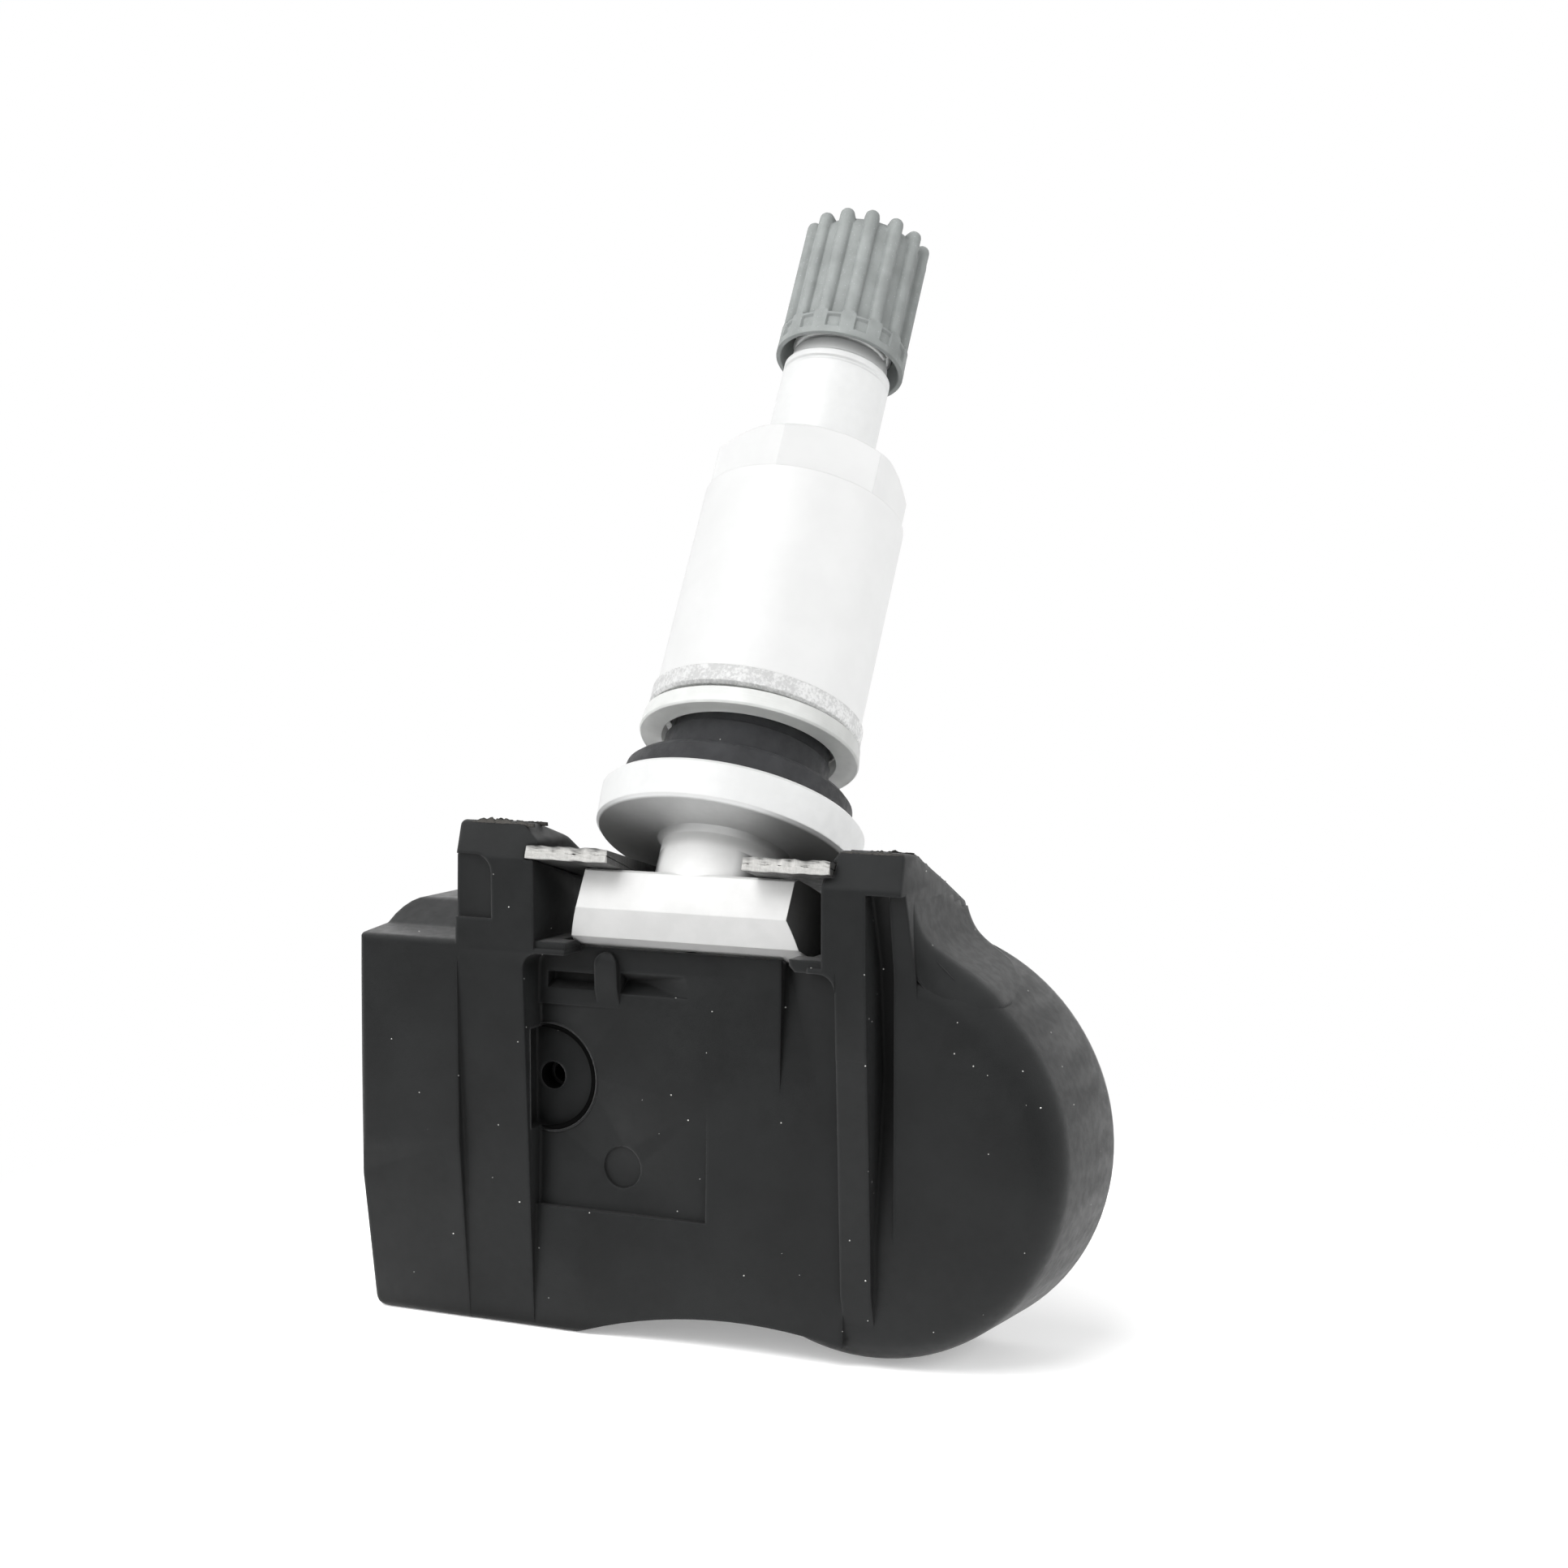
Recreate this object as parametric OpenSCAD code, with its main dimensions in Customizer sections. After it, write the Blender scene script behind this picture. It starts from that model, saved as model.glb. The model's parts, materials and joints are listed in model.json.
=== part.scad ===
// Clamp-in tyre pressure sensor: a moulded housing with battery, board and sensor, and an aluminium
// valve whose foot bar is held in a yoke by a fork. +Z up, -Y is the face with the pressure port, and
// the origin lies under the middle of the whole part. Millimetres.

/* [Housing] */
// Distance from the valve centre line to the left side
left_reach = 24.3; // [22:0.1:28]
// Depth of the housing from front face to rear face
body_d = 12.2; // [11.8:0.1:14]
// How far the top of the left block lies below the foot bar centre
block_drop = 1.7; // [1.5:0.1:3]
// Distance from the front face to the pivot line of the foot bar
front_reach = 5.1; // [4.6:0.1:5.6]
// Wall thickness of the housing
wall = 1.3; // [1:0.1:1.6]
// Thickness of the rear cover
cover_t = 1.2; // [0.8:0.1:1.6]
// Rise of the arch in the underside
arch_rise = 2.15; // [1:0.05:3]
// Rounding of the block's outer edges
edge_r = 0.9; // [0.4:0.1:1.4]
// How far the front face falls back from the top of the block to the underside
face_fall = 1.3; // [0.6:0.1:1.6]

/* [Battery lobe] */
// Diameter of the coin cell
cell_dia = 20; // [20:0.5:24.5]
// Thickness of the coin cell
cell_t = 5; // [3:0.1:5.2]
// Distance from the cell's edge to the outside of the lobe
cell_margin = 3.8; // [3.6:0.1:4.5]
// Least height of the foot bar centre above the cell's edge
bar_clear = 4.1; // [4.1:0.1:6]
// Distance from the valve centre line to the lobe centre
lobe_x = 12.2; // [11:0.1:14]
// Set-back of the lobe's face behind the front face
lobe_back = 1.6; // [1.4:0.1:2.4]
// Rounding of the lobe's front edge
lobe_edge = 2.4; // [1:0.1:3]

/* [Yoke] */
// Height of the foot bar centre above the underside, where the cell doesn't need more
yoke_h = 27.9; // [27.5:0.1:30]
// Distance from the valve centre line to the inner face of each arm
arm_in = 10.4; // [10:0.1:11.5]
// Distance from the valve centre line to the outer face of each arm
arm_out = 16.3; // [15.5:0.1:18]
// Height of the left arm's tip above the foot bar centre
arm_up = 6.3; // [6:0.1:7]
// How much lower the right arm is
arm_drop = 0.8; // [0:0.1:1]
// Height above the foot bar centre at which the front of the arms starts to lean back
bend_up = 4; // [3:0.1:4.5]
// Height of the rear edge of the arms above the foot bar centre
rear_up = 1.4; // [1:0.1:3]
// Length of the ledges that carry the ends of the foot bar
ledge = 2.3; // [1:0.1:3]

/* [Port recess] */
// Half width of the recess in the front face
recess_x = 11.3; // [10.8:0.1:12]
// Depth of the recess at its top
recess_t = 2.3; // [1.5:0.1:2.6]
// Extra depth of the port pocket at its left side
pocket_t = 0.5; // [0.4:0.1:1]
// Depth of the spot face round the port
spot_t = 0.45; // [0.3:0.05:0.6]
// Distance from the valve centre line to the pressure port
port_x = 10.6; // [9.6:0.1:10.8]
// How far the pressure port lies below the foot bar centre
port_drop = 10.9; // [9:0.1:14]
// Diameter of the pressure port
port_dia = 1.5; // [1:0.1:1.6]
// Diameter of the spot face round the port
spot_dia = 6.9; // [5:0.1:7]
// Width of the raised strip beside the recess
strip_w = 2.1; // [1.5:0.1:3]
// Depth of the groove beside the strip at its top
groove_t = 3; // [1:0.1:3.2]

/* [Valve] */
// Lean of the valve behind the vertical, in degrees
lean = 29.5; // [20:0.5:32]
// Radius of the stem
stem_r = 3.85; // [3.7:0.05:4]
// Radius of the cap thread, taken as a plain cylinder
thread_r = 3.6; // [3.4:0.05:3.65]
// Height from the foot bar centre to the flange underside
neck_h = 4.9; // [4.6:0.1:5.4]
// Radius of the neck between foot bar and flange
neck_r = 4.2; // [4:0.1:4.4]
// Radius of the flange
flange_r = 9; // [8.6:0.1:9.4]
// Thickness of the flange
flange_t = 2.76; // [2.4:0.02:3.2]
// Height from the flange underside to the shoulder below the cap
shoulder_h = 37.3; // [36.5:0.1:39]
// Length of the threaded end above the shoulder
thread_l = 9.1; // [8.5:0.1:9.6]
// Length of the foot bar, which is the diameter that its ends are turned to
foot_l = 17.4; // [16:0.1:18.4]

/* [Grommet and washer] */
// Radius of the grommet neck, which fills the rim hole
grommet_r = 5.7; // [5.6:0.05:5.85]
// Radius of the grommet flange
grommet_flange_r = 7.85; // [7.5:0.05:8.2]
// Thickness of the grommet flange
grommet_flange_t = 1.7; // [1.2:0.1:2]
// Height of the grommet above the flange
grommet_h = 5.8; // [5.2:0.1:5.9]
// Length of the grommet neck that fills the rim hole
seat_l = 2.6; // [2:0.1:2.65]
// Outer radius of the sliding washer
washer_r = 7.55; // [7:0.05:7.7]
// Thickness of the sliding washer
washer_t = 1.2; // [0.8:0.1:1.3]
// Tilt of the loose washer, in degrees
washer_tilt = 1.8; // [0:0.1:2]

/* [Nut] */
// Height from the flange underside to the nut's lower end
nut_h = 8.95; // [8.9:0.05:9.6]
// Length of the nut
nut_l = 20.6; // [19:0.1:21]
// Radius of the nut's sleeve
nut_r = 7.1; // [7:0.02:7.4]
// Radius of the rough collar at its lower end
collar_r = 7.32; // [7.2:0.02:7.6]
// Height of the collar
collar_h = 1.45; // [1:0.05:2]
// Width across the flats
nut_af = 12; // [12:0.1:12.6]
// Height of the flats
flats_h = 3.9; // [3:0.1:6]
// Turn of the flats about the valve line, in degrees
nut_turn = 35; // [0:1:60]

/* [Cap] */
// Height from the shoulder to the cap's mouth
cap_gap = 0.7; // [0.4:0.1:1]
// Length of the cap
cap_l = 10.8; // [10.6:0.1:12]
// Radius of the cap between its ribs
cap_r = 4.22; // [4.15:0.01:4.4]
// Number of ribs
rib_n = 14; // [10:1:16]
// Radius of a rib
rib_r = 0.5; // [0.35:0.05:0.6]
// Radius of the band at the cap's mouth
band_r = 4.7; // [4.6:0.05:5]
// Height of the band
band_h = 1.9; // [1.4:0.1:2.4]

/* [Fork] */
// Thickness of the fork
fork_t = 0.95; // [0.8:0.05:1.05]
// Half width of the fork over its prongs
fork_x = 10.95; // [10.8:0.05:11.9]
// Height of the fork at the front face, above the foot bar centre
fork_up = 4.5; // [4.45:0.05:4.8]
// Downward slope of the fork towards the rear, in degrees
fork_slope = 15.5; // [15:0.5:16]

/* [Board parts] */
// Distance from the left side to the coil and the antenna
board_edge = 2.3; // [2:0.1:3]
// Width of the pressure sensor
sensor_w = 5; // [4:0.1:5.5]
// Width of the control chip
chip_w = 5; // [4:0.1:5.5]
// Length of the crystal
crystal_w = 3.2; // [2:0.1:3.5]
// Height of the antenna loop
antenna_l = 12; // [8:0.1:14]
// Width of the antenna's conductor
antenna_w = 0.8; // [0.5:0.1:1.2]
// Width of the wake coil
coil_w = 3; // [2:0.1:3.5]
// Thickness of the wake coil
coil_t = 2.8; // [2:0.1:3]

/* [Valve core] */
// Radius of the core barrel
core_r = 2.4; // [2.2:0.05:2.5]
// Length of the core barrel
core_l = 12.6; // [12:0.1:13]
// Radius of the core pin
pin_r = 0.5; // [0.4:0.05:0.6]
// Travel of the core pin
pin_travel = 1.2; // [0.8:0.1:1.4]

/* [Fits] */
// Running clearance between turned parts
run = 0.05; // [0.02:0.01:0.08]
// Clearance between parts that stay put
slack = 0.1; // [0.05:0.01:0.15]

/* [Hidden] */
$fn = 72;
e = 0.01;
arc_steps = 5;

lobe_r = cell_dia / 2 + cell_margin;
pivot_h = max(yoke_h, lobe_r + cell_dia / 2 + bar_clear);
port_h = pivot_h - port_drop;
block_h = pivot_h - block_drop;
arm_h = pivot_h + arm_up;
arm_bend = pivot_h + bend_up;
arm_rear_h = pivot_h + rear_up;
front = -front_reach;
rear = body_d - front_reach;
lobe_front = front + lobe_back;
cavity_rear = rear - cover_t;
right_reach = lobe_x + lobe_r;
arm_rear = rear - 1.4;
strip_x = recess_x + strip_w;

flange_z = neck_h;
flange_top = flange_z + flange_t;
shoulder_z = flange_z + shoulder_h;
stem_top = shoulder_z + thread_l;
foot_flat = 4.2;
foot_half = 1.33;
foot_low = 2.78;
foot_top = 1.55;
nut_z = flange_z + nut_h;
nut_top = nut_z + nut_l;
neck_top = flange_top + grommet_h;
counterbore_h = 3.2;
cap_z = shoulder_z + cap_gap;
cap_top = cap_z + cap_l;
seal_t = 0.9;
cap_roof = stem_top + slack + seal_t + slack;
core_top = stem_top - 0.5;
core_low = core_top - core_l;
seat_t = 0.5;
seat_disc_t = 0.6;
pin_top = stem_top - 0.15;
pin_low = core_low - run - seat_t - seat_disc_t - 0.4;
chamber_r = core_r + run;
chamber_low = pin_low - pin_travel - 0.6;
air_r = 1.1;
spring_low = core_low + 2.2;
spring_top = core_top - 3.2;
spring_room_r = 1.7;
pin_collar_t = 0.5;
wire_r = 0.2;
wire_sides = 6;
spring_turns = 6;
coil_steps = 16;

// The part's box: the lobes set its width, the front face and the cap's rear edge its depth
back_reach = cap_z * sin(lean) + band_r * cos(lean);
rib_line = cap_r - 0.08;
cap_back = (cap_top - rib_r) * sin(lean) + rib_line * cos(lean) + rib_r;
shift_x = (left_reach - right_reach) / 2;
shift_y = (front_reach - max(back_reach, cap_back)) / 2;

board_t = 1;
board_gap = 0.6;
board_front = cavity_rear - board_gap - board_t;
board_rear = board_front + board_t;
tab_t = 0.2;
tab_w = 3;
cell_front = board_front - tab_t - 0.05 - cell_t;
cell_room = cell_front - tab_t - 0.2;
tab_x = lobe_x - cell_dia / 2 - 0.7;
tab_z = lobe_r - tab_w / 2;
// Where the recess floor lies behind the pivot line, at the height of the port
port_depth = front + face_fall + (recess_t - face_fall) * port_h / block_h;
spot_floor = port_depth + pocket_t + spot_t;
center_front = front + recess_t + pocket_t + wall + 0.2;
rib_x = -6;
seat_front = pivot_h - 1.9;
ledge_z = seat_front - 0.35;
ledge_t = 0.8;
// Free room on the board, from the left wall to the pressure sensor and on to the cell
board_left = -left_reach + board_edge;
sensor_left = -port_x - sensor_w / 2;
chips_x = -port_x + sensor_w / 2 + 1.8;
raise = 1.9;
bend_h = block_h * 0.48;
top_wall = 4.6;
arch_half = 12.3;
arch_r = (arch_half * arch_half + arch_rise * arch_rise) / (2 * arch_rise);
arch_x = 4;

// Corner points of an outline, each [x, y, radius], turned into points with round corners
function unit(v) = v / norm(v);
function corner(a, b, c, r) =
    let (u = unit([a[0] - b[0], a[1] - b[1]]), v = unit([c[0] - b[0], c[1] - b[1]]),
         half = acos(max(-1, min(1, u * v))) / 2, m = unit(u + v),
         o = [b[0], b[1]] + m * r / sin(half),
         p = [b[0], b[1]] + u * r / tan(half), q = [b[0], b[1]] + v * r / tan(half),
         sweep = 180 - 2 * half, p0 = p - o, side = sign(p0[0] * (q - o)[1] - p0[1] * (q - o)[0]))
    [for (i = [0:arc_steps]) let (t = side * sweep * i / arc_steps)
        o + [p0[0] * cos(t) - p0[1] * sin(t), p0[0] * sin(t) + p0[1] * cos(t)]];
function rounded(c) = let (n = len(c)) [for (i = [0:n - 1])
    each (c[i][2] == 0 ? [[c[i][0], c[i][1]]] : corner(c[(i + n - 1) % n], c[i], c[(i + 1) % n], c[i][2]))];

module in_body() {
    translate([shift_x, shift_y, 0]) children();
}
module on_valve() {
    in_body() translate([0, 0, pivot_h]) rotate([-lean, 0, 0]) children();
}
// An outline in X and Z, given depth from y0 to y1
module slab(y0, y1) {
    translate([0, y1, 0]) rotate([90, 0, 0]) linear_extrude(height = y1 - y0) children();
}
// An outline in Y and Z, given width from x0 to x1
module bar(x0, x1) {
    translate([x0, 0, 0]) rotate([90, 0, 90]) linear_extrude(height = x1 - x0) children();
}
module block(x0, x1, y0, y1, z0, z1) {
    translate([x0, y0, z0]) cube([x1 - x0, y1 - y0, z1 - z0]);
}
// A turned ring or disc about the valve line
module ring(r, bore, z0, z1) {
    translate([0, 0, z0]) difference() {
        cylinder(r = r, h = z1 - z0);
        translate([0, 0, -e]) cylinder(r = bore, h = z1 - z0 + 2 * e);
    }
}

module left_block() {
    intersection() {
        slab(front, rear) polygon(rounded([[-left_reach + 0.5, 0, edge_r], [-left_reach, bend_h, 0],
            [-left_reach + 0.4, block_h + raise, 1.6], [recess_x, block_h + raise, 0], [recess_x, 0, 0]]));
        union() {
            bar(-left_reach - e, -arm_out) block_side(bend_h);
            bar(-arm_out - e, recess_x + e) block_side(block_h - 1);
        }
        linear_extrude(height = block_h + raise) polygon(rounded([[-left_reach, front, 0.7],
            [recess_x, front, 0], [recess_x, rear, 0], [-left_reach, rear, edge_r]]));
    }
}
// Side outline of the block, whose face falls back from the height bend
module block_side(bend) {
    polygon(rounded([[front + face_fall, 0, 0.5], [front, bend, 0], [front, block_h, 0.5],
        [front + 3.4, block_h + 0.3, 0.6], [front + 5.8, block_h + raise, 1],
        [rear, block_h + raise, 0.8], [rear, 0, 0.8]]));
}
module lobe() {
    translate([lobe_x, rear, lobe_r]) rotate([90, 0, 0]) rotate_extrude($fn = 96)
        polygon(concat([[0, 0], [lobe_r - 0.8, 0], [lobe_r - 0.15, 0.3], [lobe_r, 0.9]],
            [for (i = [0:8]) let (t = i * 90 / 8) [lobe_r - 0.35 - lobe_edge + lobe_edge * cos(t),
                rear - lobe_front - lobe_edge + lobe_edge * sin(t)]],
            [[0, rear - lobe_front]]));
}
// One arm of the yoke, on the right side, lowered by drop and made narrower by slim
module arm(drop, slim) {
    top = arm_h - drop;
    intersection() {
        slab(front, rear) polygon(rounded([[arm_in, block_h - 6, 0], [arm_in, top - 1.2, 0.8],
            [arm_in + 0.8, top, 0.4], [arm_out - 0.35 - slim, top, 0.5], [arm_out - slim, arm_bend - drop, 0],
            [arm_out + 0.2, block_h - 6, 0]]));
        bar(arm_in - e, arm_out + 1) polygon(rounded([[front + 0.3, block_h - 7, 0],
            [front, block_h, 0], [front, arm_bend - drop, 0.4], [front + 1.5, top, 0.5],
            [front + 3.2, top - 0.3, 0.5], [arm_rear, arm_rear_h, 0.4],
            [arm_rear, block_h + 0.8, 0], [rear, block_h - 1, 0], [rear, block_h - 7, 0]]));
    }
}
// Hollow blend between the right arm's outer side and the round of the lobe
module arm_foot() {
    drop = [[1.4, -0.6], [0.1, -0.3], [0.1, 0], [0.25, 0.5], [0.6, 0.95], [1.2, 1.35], [2.2, 1.75], [2.2, 4]];
    foot_z = pivot_h + 0.4;
    slab(lobe_front + 0.9, arm_rear) polygon([for (d = drop)
        [arm_out + (d[1] < 0 ? -d[0] : d[0] - 0.1), foot_z - d[1]], [arm_out - 1.4, foot_z - 4]]);
}
// The seat under the foot bar, with a ledge at each arm and a low wall behind
module yoke_seat() {
    for (side = [0, 1])
        mirror([side, 0, 0]) slab(front + 0.2, arm_rear - 1) polygon([[arm_in + e, ledge_z],
            [arm_in - ledge + 0.4, ledge_z], [arm_in - ledge, ledge_z + ledge_t / 2],
            [arm_in - ledge, ledge_z + ledge_t], [arm_in + e, ledge_z + ledge_t]]);
    block(-recess_x, recess_x, arm_rear - 1.8, arm_rear, block_h - 2, seat_front + 0.5);
}
// The room that the foot bar takes
module bar_room() {
    translate([0, 0, pivot_h]) rotate([-lean, 0, 0])
        bar(-foot_l / 2 - 0.4, foot_l / 2 + 0.4) foot_section(0.12);
}
module front_recess() {
    top = seat_front;
    floor_y = front + recess_t;
    low = 8.4;
    // Main recess: deep under the foot bar, flush at the underside, with round upper corners
    intersection() {
        slab(front - 1, rear) polygon(rounded([[-recess_x, 0.2, 0], [recess_x, 0.2, 0],
            [recess_x, ledge_z, 1.1], [-recess_x, ledge_z, 1.1]]));
        bar(-recess_x - 1, recess_x + 1) polygon([[front - 1, 0], [front + face_fall, 0],
            [floor_y, block_h - 1.4], [floor_y, top], [front - 1, top]]);
    }
    // The way in for the foot bar, between the ledges
    block(ledge - arm_in, arm_in - ledge, front - 1, floor_y, ledge_z - 1, top + 1);
    // Port pocket: deepest at its left side and flush at its right
    intersection() {
        translate([0, 0, low]) linear_extrude(height = top - low - 4)
            polygon([[-recess_x, front - 1], [1.4, front - 1], [1.4, port_depth],
                [-recess_x, port_depth + pocket_t]]);
        bar(-recess_x, recess_x) polygon([[front - 1, 0], [front + face_fall + pocket_t, 0],
            [floor_y + pocket_t, top], [front - 1, top]]);
    }
    // Spot face, which bites into the recess wall
    intersection() {
        translate([-port_x, front, port_h]) rotate([-90, 0, 0]) cylinder(d = spot_dia, h = spot_floor - front);
        block(-recess_x - 0.6, recess_x, floor_y - 1.2, rear, 0, block_h);
    }
    // Mark of the ejector pin
    translate([-5, front, 11.4]) rotate([-90, 0, 0]) cylinder(d = 2.8, h = port_depth + pocket_t - front);
    // Troughs under the foot bar, left and right of the rib
    bar(0.7 - recess_x, rib_x - 0.9) polygon([[front, top - 2.9], [floor_y, top - 2.9],
        [floor_y + 0.9, top - 2.5], [floor_y + 0.9, top - 1.9], [floor_y, top - 1.8], [front, top - 1.8]]);
    intersection() {
        bar(rib_x + 0.9, 0) polygon([[front, top - 3], [floor_y, top - 3], [floor_y + 0.9, top - 2.2],
            [floor_y, top - 1.6], [front, top - 1.6]]);
        linear_extrude(height = top) polygon([[rib_x, front], [rib_x, floor_y + 1],
            [rib_x + 2.4, floor_y + 0.8], [-0.1, floor_y - 0.05], [-0.1, front]]);
    }
    // Wedge pocket on the right, deepest at its left side and at the top
    intersection() {
        bar(6.6, 9.4) polygon([[front, port_h], [port_depth, port_h], [floor_y + 0.9, top], [front, top]]);
        linear_extrude(height = top) polygon([[6.6, front], [6.6, floor_y + 0.9], [9.4, port_depth],
            [9.4, front]]);
    }
}
// Tongue-shaped rib in the middle of the troughs
module face_rib() {
    floor_y = front + recess_t;
    top = ledge_z + 0.1;
    intersection() {
        slab(front, floor_y + 1.3) polygon(rounded([[rib_x - 0.85, top - 4.2, 0], [rib_x - 0.8, top, 0.8],
            [rib_x + 0.8, top, 0.8], [rib_x + 0.85, top - 4.2, 0]]));
        bar(rib_x - 1, rib_x + 1) polygon([[floor_y + 1.3, top], [floor_y - 0.35, top],
            [floor_y - 0.55, top - 0.5], [floor_y - 0.45, top - 2.4], [floor_y + 0.1, top - 4.2],
            [floor_y + 1.3, top - 4.2]]);
    }
}
// Groove beside the strip, and the panel that slopes from the arm down to the lobe's face
module strip_groove() {
    top = arm_bend - arm_drop - 0.3;
    bar(strip_x, strip_x + 1.3) polygon([[front - 1, 6.2], [front + face_fall, 6.2],
        [front + groove_t, block_h - 7], [front + groove_t - 0.6, block_h], [front + 1, top],
        [front - 1, top]]);
    intersection() {
        bar(strip_x, arm_out + 1) polygon([[front - 1, block_h - 8], [lobe_front, block_h - 8],
            [lobe_front, block_h - 0.6], [front + 0.7, top], [front - 1, top]]);
        slab(front - 1, rear) polygon(rounded([[strip_x, block_h - 8, 0], [strip_x, top, 0.9],
            [arm_out + 1, top, 0], [arm_out + 1, block_h - 8, 0]]));
    }
    // Shallow panel on the left arm
    slab(front - 1, front + 0.25) polygon(rounded([[-arm_out - 1, pivot_h - 0.1, 0],
        [-arm_out - 1, arm_bend + 0.15, 0], [-arm_out + 2.7, arm_bend + 0.15, 1.2],
        [-arm_out + 2.7, pivot_h - 0.1, 0]]));
}
// The raised strip beside the recess
module strip() {
    bar(recess_x - e, strip_x) polygon([[front + face_fall * 0.8, 5], [front, block_h], [rear, block_h],
        [rear, 3], [lobe_front, 3]]);
}
// The room inside the walls, from depth y0 to y1: the block's outline over the arch, and the lobe's
module inner_slab(y0, y1, inset) {
    slab(y0, y1) difference() {
        polygon([[-left_reach + 1 + inset, inset + 0.2], [-left_reach + 0.8 + inset, block_h - 2 - inset],
            [-recess_x - 1, block_h - 2 - inset], [-recess_x - 1, block_h - top_wall - inset],
            [lobe_x - 3, block_h - top_wall - inset], [lobe_x - 3, inset + 2],
            [-recess_x - 1, inset + 0.2]]);
        translate([arch_x, arch_rise - arch_r]) circle(r = arch_r + inset, $fn = 96);
    }
    slab(y0, y1) translate([lobe_x, lobe_r]) circle(r = lobe_r - 0.2 - inset, $fn = 96);
}
module housing_cavity() {
    // Room on the left for the coil, behind the recess for the board, and in the lobe for the cell
    difference() {
        inner_slab(front + 2 + wall, cavity_rear + e, wall);
        block(-recess_x - wall, lobe_x + lobe_r, front, center_front, -1, block_h + 10);
    }
    intersection() {
        inner_slab(cell_room, center_front + 1, wall);
        translate([lobe_x, rear, lobe_r]) rotate([90, 0, 0]) cylinder(r = cell_dia / 2 + 0.3, h = body_d);
    }
    // Room for the front tab beside the cell
    block(tab_x - 0.4, lobe_x, cell_room, center_front + 1, tab_z - 0.4, tab_z + tab_w + 0.4);
    // Rebate for the cover
    inner_slab(cavity_rear, rear + 1, wall - 0.6);
}
module housing_shell() {
    difference() {
        union() {
            difference() {
                union() {
                    left_block();
                    strip();
                }
                translate([arch_x, front - 1, arch_rise - arch_r]) rotate([-90, 0, 0])
                    cylinder(r = arch_r, h = body_d + 2, $fn = 120);
            }
            block(strip_x - e, arm_out - 0.7, lobe_front, rear, lobe_r, block_h - 2.2);
            lobe();
            arm_foot();
            arm(arm_drop, 0.5);
            mirror([1, 0, 0]) arm(0, 0);
        }
        front_recess();
        strip_groove();
        // Room between the arms
        block(-arm_in, arm_in, front - 1, rear + 1, seat_front, arm_h + 3);
    }
    face_rib();
}
module housing() {
    color([0.16, 0.165, 0.17]) in_body() difference() {
        union() {
            housing_shell();
            yoke_seat();
        }
        bar_room();
        housing_cavity();
        translate([-port_x, spot_floor - 1, port_h]) rotate([-90, 0, 0]) cylinder(d = port_dia, h = 3 + wall);
        fork_slots();
    }
}
// Slots in the arms that the fork slides in
module fork_slots() {
    fork_plane() block(-fork_x - slack, fork_x + slack, -3, body_d + 3, -fork_t / 2 - run, fork_t / 2 + run);
}
module fork_plane() {
    translate([0, front, pivot_h + fork_up]) rotate([-fork_slope, 0, 0]) children();
}
module rear_cover() {
    color([0.2, 0.2, 0.21]) in_body() {
        inner_slab(cavity_rear + run, rear, wall - 0.6 + slack);
        // Two ribs on the inside press the board to its seat
        for (x = [board_left + 4, 2])
            block(x, x + 1.2, board_rear + run, cavity_rear + 2 * run, 6, 16);
    }
}
module circuit_board() {
    color([0.1, 0.35, 0.18]) in_body() inner_slab(board_front, board_rear, wall + 0.5);
}
module coin_cell() {
    color([0.78, 0.78, 0.76]) in_body() translate([lobe_x, cell_front, lobe_r]) rotate([-90, 0, 0])
        rotate_extrude() polygon([[0, 0], [cell_dia / 2 - 2.4, 0], [cell_dia / 2 - 2, 0.5],
            [cell_dia / 2 - 0.4, 0.7], [cell_dia / 2, 1.1], [cell_dia / 2, cell_t - 0.3],
            [cell_dia / 2 - 0.3, cell_t], [0, cell_t]]);
}
module cell_tab_front() {
    color([0.8, 0.79, 0.74]) in_body() {
        block(tab_x, lobe_x - 2, cell_front - tab_t, cell_front, tab_z, tab_z + tab_w);
        block(tab_x, tab_x + tab_t, cell_front - tab_t, board_front, tab_z, tab_z + tab_w);
    }
}
module cell_tab_rear() {
    color([0.8, 0.79, 0.74]) in_body()
        block(lobe_x - 2.5, lobe_x + 2.5, cell_front + cell_t, board_front, lobe_r + 2, lobe_r + 8);
}
module pressure_sensor() {
    color([0.12, 0.12, 0.13]) in_body() difference() {
        block(sensor_left, sensor_left + sensor_w, board_front - 2, board_front,
            port_h - sensor_w / 2, port_h + sensor_w / 2);
        translate([-port_x, board_front - 2 - e, port_h]) rotate([-90, 0, 0]) cylinder(d = 1, h = 0.6);
    }
}
module port_seal() {
    color([0.55, 0.2, 0.15]) in_body() translate([-port_x, board_front - 2, port_h]) rotate([90, 0, 0])
        difference() {
            cylinder(r = 1.9, h = board_front - 2 - center_front);
            translate([0, 0, -1]) cylinder(r = 0.7, h = 10);
        }
}
module chip(x, z, w, h, t) {
    block(x, x + w, board_front - t, board_front, z, z + h);
}
module control_chip() {
    color([0.1, 0.1, 0.11]) in_body() chip(chips_x, 6, chip_w, chip_w, 1);
}
module crystal() {
    color([0.75, 0.76, 0.78]) in_body() chip(chips_x + 0.3, 8 + chip_w, crystal_w, 2.5, 0.9);
}
module wake_coil() {
    color([0.3, 0.29, 0.28]) in_body() chip(board_left, block_h - 4.2 - coil_w, sensor_left - 0.6 - board_left,
        coil_w, coil_t);
}
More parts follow.
